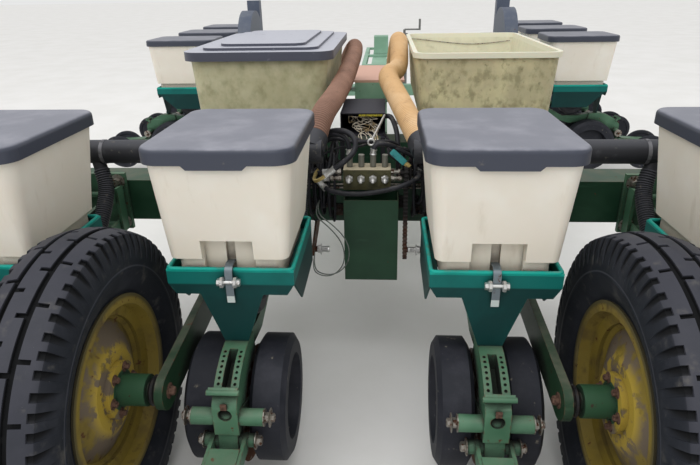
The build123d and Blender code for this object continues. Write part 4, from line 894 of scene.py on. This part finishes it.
low_end, top_end = np.array(CHAIN_ENDS)
lean = np.arctan2(*(top_end - low_end))
half_turn = np.linspace(0, pi, 13)
loop = [centre + CHAIN_R * np.stack([-np.cos(angle - lean), np.sin(angle - lean)], 1)
        for centre, angle in ((top_end, half_turn), (low_end, half_turn + pi))]
loop = np.concatenate(loop + [loop[0][:1]])
rollers = even_line(about_bar(np.column_stack([np.full(len(loop), CHAIN_X), loop])), CHAIN_PITCH)[0]
chain = Finish("chain roller steel", (92, 72, 64), 0.6, 0.3)
chain.blotches(0.01, 4.0, 0.45, 0.65, DARK_RUST, 0.9)
chain.layer(chain.ramp(chain.part("Z"), 0.62, 0.70), (38, 36, 36), 0.7)
roller = bar_between(-ROLLER_HALF, ROLLER_HALF, ROLLER_R, 8)
piece("chain_rollers", at_places(roller, rollers[:-1]), chain.done())

collar = turned([(0, 0), (0, 0.0128), (0.006, 0.0142), (0.012, 0.0128), (0.030, 0.0128), (0.033, 0.024),
                 (0.036, 0.024), (0.038, 0.0165), (0.048, 0.0165), (0.050, 0.0128), (0.050, 0)], 18)
for side, sign in (("right", 1), ("left", -1)):
    place = about_bar([(sign * COLLAR_X, *CHAIN_ENDS[0])])
    piece(f"shaft_collar_{side}", at_places(collar, place, FACING[sign]), bright_steel)


# Valve block. An olive plated block with a pale dusty top and grey steel cartridges above. Four bright
# hexagon plugs with rounded noses close its rear.

VALVE_X = (-0.099, 0.089)
VALVE_TOP = 0.871
CARTRIDGE_TOP = 0.9195
PLUG_Z = 0.8365
PLUG_Y = -0.2002

olive = Finish("valve plating", (72, 70, 42), 0.45, 0.2)
olive.blotches(0.03, 5.0, 0.45, 0.7, (56, 56, 40), 0.6)
olive.blotches(0.015, 5.0, 0.62, 0.72, (96, 92, 72), 0.7, shift=(2, 2, 2))
olive.blotches(0.02, 4.0, 0.2, 0.5, (184, 174, 150), 0.85, olive.facing_up(0.6, 0.9))
olive.layer(olive.ramp(olive.part("Z"), VALVE_TOP + 0.001, VALVE_TOP + 0.002), (112, 112, 104), 0.5)
olive.layer(olive.ramp(olive.part("Z"), CARTRIDGE_TOP, CARTRIDGE_TOP + 0.001), (150, 148, 140), 0.5)
# Painted shade, with some grime, in the crevices.
olive.layer(olive.crevices(0.02), SHADE_AND_GRIME, 0.9, 0.7)
finish_nodes(olive.done(), "valve_block")

head = [(0, 0), (0, 0.0160), (0.013, 0.0160), (0.015, 0.0138), (0.015, 0)]
nose = [(0.014, 0), (0.014, 0.0124), (0.032, 0.0118), (0.040, 0.0090), (0.045, 0.0048), (0.046, 0)]
plug = joined([turned(head, 6), turned(nose, 16)])
plug_xs = [VALVE_X[0] + (VALVE_X[1] - VALVE_X[0]) * (order + 0.5) / 4 for order in range(4)]
piece("valve_plugs", at_places(plug, about_bar([(x, PLUG_Y, PLUG_Z) for x in plug_xs]), "-Y"), bright_steel)


# Hydraulic hoses. Black braided rubber with crimped steel ends, which cross behind the bar, rise from the
# cartridges and leave the block's sides through steel fittings. Thinner hoses and cables lie tangled on the
# bar.

HOSE_R = 0.010
LOOP_HOSE_R = 0.0108
SIDE_HOSE_R = 0.0078
ELBOW_R = 0.0072
CRIMP = (0.0128, 0.040)
BAR_TOP = 0.789
MAIN_HOSES = (
    ((-0.205, -0.0845, 0.812), (-0.205, -0.180, 0.812), (-0.145, -0.232, 0.790), (-0.040, -0.240, 0.783),
     (0.060, -0.240, 0.798), (0.145, -0.238, 0.822), (0.205, -0.195, 0.840), (0.205, -0.0845, 0.840)),
    ((-0.0755, -0.1525, 0.9215), (-0.0755, -0.1525, 0.982), (-0.125, -0.130, 1.003), (-0.180, -0.095, 0.975),
     (-0.205, -0.070, 0.925), (-0.205, -0.070, 0.8605)),
    ((0.0185, -0.1525, 0.9215), (0.0185, -0.1525, 0.962), (0.075, -0.140, 0.962), (0.135, -0.110, 0.925),
     (0.205, -0.070, 0.915), (0.205, -0.070, 0.8605)),
)
LOOP_HOSE = (
    (-0.236, -0.020, 0.789), (-0.236, -0.020, 0.900), (-0.214, -0.040, 0.966), (-0.153, -0.100, 1.004),
    (-0.096, -0.160, 1.020), (-0.052, -0.195, 1.004), (-0.046, -0.218, 0.958), (-0.080, -0.240, 0.925),
    (-0.121, -0.246, 0.896), (-0.166, -0.247, 0.861),
)
SIDE_HOSES = (
    ((0.150, -0.150, 0.849), (0.185, -0.150, 0.846), (0.225, -0.135, 0.838), (0.256, -0.080, 0.815),
     (0.256, -0.050, 0.789)),
    ((0.150, -0.150, 0.822), (0.185, -0.152, 0.820), (0.235, -0.140, 0.812), (0.262, -0.110, 0.800),
     (0.280, -0.080, 0.789)),
    ((-0.160, -0.150, 0.849), (-0.190, -0.150, 0.846), (-0.225, -0.135, 0.838), (-0.256, -0.080, 0.815),
     (-0.256, -0.050, 0.789)),
    ((-0.160, -0.150, 0.822), (-0.190, -0.152, 0.820), (-0.240, -0.140, 0.812), (-0.262, -0.110, 0.800),
     (-0.280, -0.080, 0.789)),
)
THIN_R = (0.0080, 0.0070, 0.0105, 0.0065, 0.0060, 0.0055, 0.0060, 0.0050)
THIN_HOSES = (
    ((-0.228, -0.050, 0.789), (-0.226, -0.058, 0.900), (-0.158, -0.060, 0.972), (-0.060, -0.075, 0.946),
     (0.012, -0.110, 0.966), (0.100, -0.132, 0.944), (0.173, -0.118, 0.906), (0.232, -0.090, 0.860),
     (0.240, -0.060, 0.789)),
    ((-0.250, -0.010, 0.789), (-0.246, -0.040, 0.900), (-0.187, -0.045, 0.962), (-0.090, -0.040, 0.980),
     (-0.020, -0.078, 0.946), (0.070, -0.090, 0.962), (0.125, -0.030, 0.930), (0.150, 0.020, 0.860),
     (0.152, 0.030, 0.789)),
    ((0.066, 0.140, 1.010), (0.086, 0.110, 1.022), (0.104, 0.030, 1.004), (0.118, -0.020, 0.960),
     (0.118, -0.046, 0.900), (0.122, -0.046, 0.789)),
    ((-0.148, 0.020, 0.789), (-0.150, 0.030, 0.960), (-0.148, -0.030, 0.966), (-0.156, -0.110, 0.880),
     (-0.172, -0.150, 0.836), (-0.176, -0.070, 0.789)),
    ((-0.130, 0.135, 0.950), (-0.156, 0.080, 0.968), (-0.190, 0.000, 0.945), (-0.216, -0.060, 0.880),
     (-0.216, -0.030, 0.789)),
    ((-0.126, 0.125, 0.940), (-0.148, 0.040, 0.935), (-0.124, -0.050, 0.915), (-0.150, -0.090, 0.850),
     (-0.134, -0.076, 0.789)),
    ((0.060, 0.120, 0.936), (0.090, 0.030, 0.930), (0.070, -0.060, 0.905), (0.112, -0.096, 0.880),
     (0.168, -0.080, 0.850), (0.180, -0.040, 0.789)),
    ((0.010, 0.116, 0.934), (0.020, 0.040, 0.925), (-0.060, -0.040, 0.915), (-0.120, -0.060, 0.930),
     (-0.190, -0.076, 0.900), (-0.246, -0.080, 0.840), (-0.236, -0.060, 0.789)),
)
ELBOW = (
    (-0.164, -0.247, 0.863), (-0.186, -0.247, 0.846), (-0.212, -0.236, 0.836), (-0.216, -0.160, 0.842),
    (-0.205, -0.110, 0.846), (-0.205, -0.0845, 0.846),
)
OUTLET_Z = (0.849, 0.822)
CABLES = 34
CABLE_FOOT = ((0.13, 0.25), (-0.07, 0.03))
CABLE_LANDING = ((0.11, 0.25), (-0.07, 0.04))
CABLE_RISE = (0.05, 0.16)
CABLE_SWAY = 0.028
CABLE_R = (0.0022, 0.0042)
DRAPED = 26
DRAPE_X = {1: (0.176, 0.258), -1: (0.142, 0.258)}
DRAPE_LEAN = 0.022
DRAPE_OUT = (-0.175, -0.118)
DRAPE_TOP = (0.812, 0.900)
DRAPE_LOW = (0.625, 0.735)
DRAPE_R = (0.0035, 0.0078)


def route(points, steps=8):
    return spline_line(about_bar(points), steps)


def tubes(name, lines, radii, steps, material, slot="hose_rubber"):
    """One piece of round tubes along the lines, with a radius for each or one for all."""
    radii = np.broadcast_to(radii, len(lines))
    shapes = [tube_along(line, radius, steps) for line, radius in zip(lines, radii)]
    return piece(name, joined(shapes), material, slot=slot, smooth=60)


def crimp(line, start, length=CRIMP[1]):
    """A steel sleeve pressed on a hose from a length along it, or up to its end where start is negative.

    It is slightly waisted, with a collar at each end.
    """
    even, marks = even_line(line, 0.002)
    begin = start if start >= 0 else marks[-1] + start - length
    held = even[(marks >= begin) & (marks <= begin + length)]
    share = abs(np.linspace(-1, 1, len(held)))
    return tube_along(held, CRIMP[0] + 0.0016 * (share > 0.8) - 0.0006 * (share < 0.3), 14)


hose = Finish("hose rubber", (32, 33, 38), 0.5, gloss=0.3)
hose.blotches(0.04, 5.0, 0.5, 0.7, (50, 50, 56), 0.6)
hose.blotches(0.02, 5.0, 0.45, 0.8, (96, 92, 86), 0.9, hose.facing_up())
hose_rubber = hose.done()
main_lines = [route(points, 10) for points in MAIN_HOSES]
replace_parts(tubes("main_hoses", main_lines, HOSE_R, 14, hose_rubber), "hydraulic_hoses")
loop_line = route(LOOP_HOSE, 10)
side_lines = [route(points) for points in SIDE_HOSES]
tubes("loop_hose", [loop_line], LOOP_HOSE_R, 14, hose_rubber)
tubes("side_hoses", side_lines, SIDE_HOSE_R, 12, hose_rubber)
tubes("thin_hoses", [route(points) for points in THIN_HOSES], THIN_R, 10, hose_rubber)

dice = np.random.default_rng(11)
cable_sheath = patchy("cable sheath", (44, 41, 46), 0.55, (0.09, 2.0, 0.52, 0.60, (76, 66, 70), 0.6),
                      (0.07, 2.0, 0.60, 0.66, (108, 108, 102), 0.6, None, (4, 4, 4)), gloss=0.3)
share = np.linspace(0, 1, 7)[:, None]
lines, radii = [], []
for order in range(CABLES):
    side = -1 if order % 2 else 1
    foot, landing = (np.array([side * dice.uniform(*x), dice.uniform(*y), BAR_TOP])
                     for x, y in (CABLE_FOOT, CABLE_LANDING))
    rise = np.array([0, 0, 1]) * np.sin(pi * share) * dice.uniform(*CABLE_RISE)
    sway = dice.uniform(-CABLE_SWAY, CABLE_SWAY, (7, 3)) * (1, 1, 0.6) * np.sin(pi * share)
    lines.append(route(foot + (landing - foot) * share + rise + sway, 6))
    radii.append(dice.uniform(*CABLE_R))
tubes("bar_cables", lines, radii, 8, cable_sheath)

lines, radii = [], []
for order in range(DRAPED):
    side = -1 if order % 2 else 1
    x = side * dice.uniform(*DRAPE_X[side])
    lean = dice.uniform(-DRAPE_LEAN, DRAPE_LEAN)
    out, top, low = (dice.uniform(*span) for span in (DRAPE_OUT, DRAPE_TOP, DRAPE_LOW))
    rising = [(x, -0.060, BAR_TOP), (x, -0.066, top), (x + lean, -0.100, top + 0.020)]
    hanging = [(x + lean, out, top - 0.030), (x + lean * 1.4, out, (top + low) / 2),
               (x + lean, out + 0.010, low)]
    lines.append(route([*rising, *hanging, (x, -0.100, low - 0.010), (x, -0.0885, low + 0.006)], 6))
    radii.append(dice.uniform(*DRAPE_R))
tubes("draped_hoses", lines, radii, 8, hose_rubber)

crimps = [crimp(main_lines[0], 0.075, 0.062), crimp(main_lines[0], -0.004), crimp(loop_line, -0.001, 0.048)]
crimps += [crimp(line, start, 0.024) for line in main_lines[1:] for start in (0.0, -0.001)]
crimps += [crimp(line, 0.0, 0.026) for line in side_lines]
piece("hose_crimps", joined(crimps), bright_steel)

fitting = joined([bar_between(0, 0.013, 0.0130, 6), bar_between(0.013, 0.046, 0.0082, 14),
                  bar_between(0.030, 0.042, 0.0125, 6)])
outlets = [at_places(fitting, about_bar([(x, -0.150, z) for z in OUTLET_Z]), FACING[sign])
           for sign, x in ((1, VALVE_X[1]), (-1, VALVE_X[0] - 0.012))]
piece("valve_fittings", joined(outlets), bolt_steel)

brass = patchy("brass fitting", (212, 188, 122), 0.35, (0.01, 4.0, 0.55, 0.75, (158, 140, 98), 0.6),
               metal=0.65)
tubes("hose_elbow", [route(ELBOW)], ELBOW_R, 12, brass, "bare_steel")


# Wiring box. Black sheet with a yellow terminal strip under its roof, and pale wires that hang in it and over
# its lip. A steel rod with an eye leans from its side onto a hose, and a teal connector hangs on its wires.

BOX_X = (-0.118, 0.056)
BOX_Z = (0.9365, 1.016)
WIRES = 12
WIRE_R = 0.0017
WIRE_START = ((-0.100, 0.030), 0.120, 1.014)
WIRE_LANDING = ((-0.070, 0.045), 0.108, 0.9345)
WIRE_SWAY = (0.055, 0.030, 0.018)
WIRE_DEPTH = 0.040
OVER_LIP = ((0.006, -0.030, -0.004), (0.010, -0.060, -0.020))
STRIP_LINE = ((0.1125, 1.0205), (0.120, 1.0205))
ROD = ((0.062, 0.104, 1.022), (0.036, -0.020, 0.995), (0.013, -0.128, 0.9745))
ROD_R = 0.0050
EYE_AT = (0.010, -0.132, 0.966)
EYE_R, EYE_WIRE_R = 0.0125, 0.0042
CONNECTOR = ((0.092, -0.152, 0.935), (0.146, -0.174, 0.891))
CONNECTOR_R, CONNECTOR_END = 0.0172, 0.86
SOCKET = ((0.145, -0.1735, 0.892), (0.163, -0.181, 0.878))
LOOP_WIRE = (
    (-0.205, -0.0895, 0.712), (-0.205, -0.200, 0.724), (-0.189, -0.300, 0.718), (-0.136, -0.312, 0.684),
    (-0.090, -0.312, 0.632), (-0.070, -0.312, 0.575), (-0.080, -0.312, 0.512), (-0.125, -0.312, 0.468),
    (-0.180, -0.300, 0.458), (-0.226, -0.270, 0.470), (-0.2245, -0.212, 0.512),
)
LOOP_SHIFT = (-0.020, 0.004, -0.012)
LEAD_R, LOOP_WIRE_R = 0.0026, 0.0024

sheet = Finish("box sheet", (40, 40, 45), 0.6, gloss=0.2)
sheet.layer(sheet.facing_up(), (50, 50, 58), 0.6)
sheet.blotches(0.02, 7.0, 0.60, 0.75, (74, 70, 66), 0.85)
finish_nodes(sheet.done(), "wiring_box")

yellow = Finish("yellow terminal strip", (172, 160, 48), 0.5)
yellow.blotches(0.012, 3.0, 0.50, 0.56, (120, 112, 44), 0.6, stretch=(0.6, 1, 1))
strip = at_places(flat_strip(STRIP_LINE, 0.104, 0.0095), (0.002, BAR_Y, 0))
piece("terminal_strip", strip, yellow.done(), slot="black_plastic")

share = np.linspace(0, 1, 8)[:, None]
hang = np.sin(pi * share)
lines = []
for order in range(WIRES):
    start, landing = (np.array([dice.uniform(*x), y, z]) for x, y, z in (WIRE_START, WIRE_LANDING))
    sway = dice.uniform(-1, 1, (8, 3)) * WIRE_SWAY * hang
    line = start + (landing - start) * share + sway + np.array([0, WIRE_DEPTH, 0]) * hang
    line[:, 0] = np.clip(line[:, 0], *BOX_X)
    line[:, 2] = np.clip(line[:, 2], *BOX_Z)
    lines.append(route(np.vstack([line, landing + OVER_LIP[0], landing + OVER_LIP[1]]), 7))
pale_wire = patchy("pale wire", (214, 206, 188), 0.5, (0.05, 2.0, 0.52, 0.60, (168, 148, 112), 0.6),
                   (0.04, 2.0, 0.60, 0.66, (120, 112, 104), 0.6, None, (6, 1, 3)))
tubes("box_wires", lines, WIRE_R, 7, pale_wire)

angle = np.linspace(0, tau, 20, endpoint=False)
eye_path = np.stack([EYE_R * np.cos(angle), EYE_R * np.sin(angle), 0 * angle], 1)
eye = at_places(closed_tube(eye_path, EYE_WIRE_R, 10), about_bar([EYE_AT]), "Z")
piece("steel_rod", joined([tube_along(route(ROD, 6), ROD_R, 12), eye]), bright_steel, smooth=60)

plug_line, socket_line = (even_line(about_bar(ends), 0.006)[0] for ends in (CONNECTOR, SOCKET))
thick = np.full(len(plug_line), CONNECTOR_R)
thick[[0, -1]] *= CONNECTOR_END
teal_plastic = patchy("connector plastic", (34, 122, 122), 0.45, (0.012, 4.0, 0.5, 0.7, (26, 92, 96), 0.6))
piece("connector", tube_along(plug_line, thick, 4, pi / 4), teal_plastic, slot="black_plastic")
piece("connector_socket", tube_along(socket_line, 0.0105, 6), brass)
leads = [route([(0.020 + 0.006 * order, -0.100, 0.948 + 0.008 * order), (0.058, -0.130, 0.962),
                (0.094 + 0.002 * order, -0.153, 0.934 - 0.004 * order)]) for order in range(3)]
tubes("connector_leads", leads, LEAD_R, 8, cable_sheath)

fade = np.sin(pi * np.linspace(0, 1, len(LOOP_WIRE)))[:, None]
loops = [route(LOOP_WIRE), route(np.array(LOOP_WIRE) + np.array(LOOP_SHIFT) * fade)]
grey_wire = patchy("grey wire", (112, 118, 112), 0.5, (0.05, 3.0, 0.45, 0.7, (76, 80, 78), 0.6))
tubes("loop_wires", loops, LOOP_WIRE_R, 8, grey_wire)


# Bar lines. Two steel brake lines clipped along the bar's rear from one row head to the other, and bracket
# plates with their bolts below them.

LINE_Z = (0.762, 0.777)
LINE_END = 0.2705
LINE_R = 0.0048
PLATES = ((-0.166, 0.700), (-0.128, 0.664), (0.132, 0.700), (0.196, 0.672), (-0.236, 0.690), (0.240, 0.700))

straight = [even_line(about_bar([(-LINE_END, -0.0942, z), (LINE_END, -0.0942, z)]), 0.05)[0] for z in LINE_Z]
piece("brake_lines", joined([tube_along(line, LINE_R, 10) for line in straight]), bolt_steel)
plate = flat_strip([(-0.0925, -0.026), (-0.0925, 0.026)], 0.034, 0.0065)
plates = at_places(plate, [(x, BAR_Y, z) for x, z in PLATES])
plate_bolts = at_places(hex_bolt(0.017, 0.011), about_bar([(x, -0.0958, z) for x, z in PLATES]), "-Y")
piece("bar_plates", joined([plates, plate_bolts]), rusty_steel)


# Air ducts. The left one is a finely ribbed brown hose; the right one is orange-brown, with faint ribs. Both
# rise from the suction pipe's stubs and lie in the gap between the tanks.

DUCT_R = 0.048
RIB = 0.0115
DUCT_LEFT = (
    (-0.190, -0.090, 1.065), (-0.160, 0.150, 1.085), (-0.136, 0.450, 1.112),
    (-0.127, 0.900, 1.138), (-0.122, 1.250, 1.158), (-0.130, 1.490, 1.185),
    (-0.180, 1.600, 1.110), (-0.215, 1.650, 1.000), (-0.215, 1.650, 0.8803),
)
DUCT_RIGHT = (
    (0.150, 0.020, 1.050), (0.110, 0.260, 1.090), (0.066, 0.500, 1.135),
    (0.134, 0.690, 1.130), (0.138, 0.850, 1.212), (0.137, 1.030, 1.262),
    (0.126, 1.220, 1.180), (0.110, 1.370, 1.000), (0.105, 1.470, 0.890),
    (0.105, 1.5597, 0.890),
)
DUCT_STEPS = 32
PIPE_START = (0.218, -0.250, 0.960)
DUCT_STUB = 0.0753


def air_duct(name, side, points, depth, material):
    """A ribbed tube: its radius goes in and out along the line as a cosine, by the depth of its grooves."""
    foot = np.array(PIPE_START) * (side, 1, 1)
    way = np.array(points[0]) - foot
    start = foot + way / np.linalg.norm(way) * DUCT_STUB
    line, marks = even_line(route([start, *points], 20), RIB / 6)
    groove = 0.5 - 0.5 * np.cos(marks * tau / RIB)
    rows = np.concatenate([groove[:1], groove, groove[-1:]])
    shape = tube_along(line, DUCT_R - depth * groove, DUCT_STEPS)
    made = piece(name, shape, material, "frame", "duct_brown", 60, groove=np.repeat(rows, DUCT_STEPS))
    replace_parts(made, "air_ducts")


brown = Finish("ribbed duct brown", (140, 106, 90), 0.6)
brown.blotches(0.15, 4.0, 0.4, 0.7, (156, 120, 102), 0.65)
brown.blotches(0.03, 6.0, 0.55, 0.75, (104, 84, 72), 0.8, 0.5)
# Painted shade: the grooves are coloured darker.
brown.layer(brown.mark("groove"), (78, 58, 48), 0.8, 0.85)
orange = Finish("smooth duct orange", (206, 168, 120), 0.55)
orange.blotches(0.15, 4.0, 0.4, 0.7, (216, 184, 142), 0.6)
orange.blotches(0.04, 6.0, 0.5, 0.75, (150, 118, 88), 0.8, 0.5)
# Painted shade: the faint grooves are coloured darker.
orange.layer(orange.mark("groove"), (158, 120, 80), 0.7, 0.5)
air_duct("left_air_duct", -1, DUCT_LEFT, 0.0045, brown.done())
air_duct("right_air_duct", 1, DUCT_RIGHT, 0.0020, orange.done())


# Tanks. Blow-moulded milky plastic, yellowed and stained by algae in runs down the walls; the open one's
# rolled rim and inside are paler, and a wire hangs along its far wall. The other has a ribbed black lid.

TANK_RIM = 1.224
TANK_WIRE = (
    (0.2268, 1.412, 1.222), (0.264, 1.4215, 1.220), (0.423, 1.4215, 1.199), (0.581, 1.4205, 1.184),
    (0.700, 1.4210, 1.190), (0.800, 1.4210, 1.200), (0.8330, 1.412, 1.206),
)


def tank_plastic(node, base, stain, algae):
    """Milky plastic, blotched by stains and algae; the side that faces the tank's own middle is paler."""
    tank = Finish(f"{node} plastic", base, 0.5)
    tank.blotches(0.25, 5.0, 0.36, 0.62, (178, 172, 138), 0.55, stretch=(1, 1, 1.3))
    tank.blotches(0.05, 8.0, *stain, (150, 146, 112), 0.6, stretch=(1, 1, 1.3))
    tank.blotches(0.02, 8.0, *algae, (116, 116, 84), 0.65, stretch=(1, 1, 1.6), shift=(3, 2, 6))
    inside = tank.ramp(tank.dot_normal(tank.from_middle(middle_of(node))), 0.0, -0.02)
    tank.layer(inside, (212, 210, 188), 0.5, 0.8)
    tank.blotches(0.06, 6.0, 0.55, 0.8, (176, 174, 146), 0.5, inside)
    tank.layer(tank.ramp(tank.part("Z"), TANK_RIM, TANK_RIM + 0.004), (212, 210, 188), 0.5)
    tank.layer(tank.facing_up(), (218, 216, 200), 0.5, 0.5)
    tank.shader.inputs["Subsurface Weight"].default_value = 0.08
    return tank.done()


finish_nodes(tank_plastic("tank_left", (196, 190, 158), (0.40, 0.80), (0.66, 0.84)), "tank_left")
finish_nodes(tank_plastic("tank_right", (208, 203, 160), (0.46, 0.66), (0.58, 0.78)), "tank_right")
tubes("tank_wire", [route(TANK_WIRE)], 0.0022, 8, bolt_steel, "bare_steel")

cover = Finish("tank lid plastic", (72, 74, 86), 0.4)
# Painted sheen: the lid is coloured pale where it faces up, as the sky's reflection on it.
cover.layer(cover.facing_up(0.6, 0.98), (168, 170, 180), 0.45)
cover.blotches(0.05, 6.0, 0.6, 0.75, (128, 130, 140), 0.6)
finish_nodes(cover.done(), "tank_lid")


# Tongue with its air box. Light green paint, sun-bleached, and the air box's cover is pinkish brown.

pale = Finish("tongue green", (126, 164, 140), 0.5)
pale.blotches(0.3, 4.0, 0.4, 0.7, (144, 180, 158), 0.6)
pale.blotches(0.03, 8.0, 0.66, 0.72, RUST, 0.85)
box_cover = pale.both(pale.ramp(pale.part("Z"), 0.93, 0.934), pale.ramp(pale.part("Y"), 0.50, 0.46))
pale.layer(box_cover, (204, 162, 144), 0.7)
# Painted shade, with some grime, in the crevices.
pale.layer(pale.crevices(0.05), SHADE_AND_GRIME, 0.9, 0.7)
finish_nodes(pale.done(), "tongue")


# Fans on the wings. Painted sheet housings, blue-grey, with a motor behind.

fan_paint = patchy("fan paint", (74, 82, 98), 0.45, (0.1, 5.0, 0.45, 0.7, (96, 102, 112), 0.55),
                   (0.03, 8.0, 0.68, 0.75, RUST, 0.85))
finish_nodes(fan_paint, "vacuum_fan")


# Parking jack. Grey painted tube on a round foot, scratched to the steel where it slides.

jack_grey = patchy("jack grey", (120, 120, 118), 0.45, (0.04, 7.0, 0.5, 0.7, (92, 92, 90), 0.6),
                   (0.02, 7.0, 0.66, 0.74, RUST, 0.85), metal=0.2)
finish_nodes(jack_grey, "jack")


# Floor, light and camera. A pale studio floor, an even sky with one large soft lamp above, and the camera at
# the photograph's place: standing behind the planter and looking down at it.

CAMERA = (0.0637, -4.214, 1.5441)
CAMERA_PITCH, CAMERA_YAW, CAMERA_ROLL = 23.60, 3.717, -0.99
LENS_MM, SENSOR_MM = 29.31, 36.0
FLOOR_HALF = 60.0
SKY = (1, 1, 1, 1)
BACKDROP = (0.8, 0.8, 0.8, 1)
LAMP_AT, LAMP_AIM = (-1.5, -4.5, 6.5), (0, 0, 0.8)
LAMP_WATTS, LAMP_SIZE = 260.0, 7.0

corners = [(x * FLOOR_HALF, y * FLOOR_HALF, 0) for x, y in ((-1, -1), (1, -1), (1, 1), (-1, 1))]
floor_mesh = bpy.data.meshes.new("floor")
floor_mesh.from_pydata(corners, [], [(0, 1, 2, 3)])
floor = bpy.data.objects.new("floor", floor_mesh)
bpy.context.scene.collection.objects.link(floor)
floor.data.materials.append(patchy("pale floor", (226, 225, 222), 0.9, (0.6, 5.0, 0.3, 0.7, (232, 231, 229))))

world = bpy.data.worlds.new("studio")
bpy.context.scene.world = world
world.use_nodes = True
tree = world.node_tree
sky, backdrop = tree.nodes["Background"], tree.nodes.new("ShaderNodeBackground")
for background, colour in ((sky, SKY), (backdrop, BACKDROP)):
    background.inputs["Color"].default_value = colour
rays = tree.nodes.new("ShaderNodeLightPath")
seen = rays.outputs["Is Camera Ray"]
for kind in ("Is Glossy Ray", "Is Transmission Ray"):
    either = tree.nodes.new("ShaderNodeMath")
    either.operation = "MAXIMUM"
    tree.links.new(seen, either.inputs[0])
    tree.links.new(rays.outputs[kind], either.inputs[1])
    seen = either.outputs[0]
choice = tree.nodes.new("ShaderNodeMixShader")
for source, socket in zip((seen, sky.outputs[0], backdrop.outputs[0]), choice.inputs):
    tree.links.new(source, socket)
tree.links.new(choice.outputs[0], tree.nodes["World Output"].inputs["Surface"])

lamp = bpy.data.lights.new("soft lamp", "AREA")
lamp.energy = LAMP_WATTS
lamp.size = LAMP_SIZE
lamp_object = bpy.data.objects.new("soft lamp", lamp)
lamp_object.location = LAMP_AT
lamp_object.rotation_euler = (Vector(LAMP_AIM) - lamp_object.location).to_track_quat("-Z", "Y").to_euler()
bpy.context.scene.collection.objects.link(lamp_object)

camera = bpy.data.cameras.new("camera")
camera.lens = LENS_MM
camera.sensor_width = SENSOR_MM
camera_object = bpy.data.objects.new("camera", camera)
turn = Matrix.Rotation(radians(CAMERA_YAW), 4, "Z") @ Matrix.Rotation(radians(90 - CAMERA_PITCH), 4, "X")
camera_object.matrix_world = Matrix.Translation(CAMERA) @ turn @ Matrix.Rotation(radians(CAMERA_ROLL), 4, "Z")
bpy.context.scene.collection.objects.link(camera_object)
bpy.context.scene.camera = camera_object
bpy.context.scene.view_settings.view_transform = "Standard"
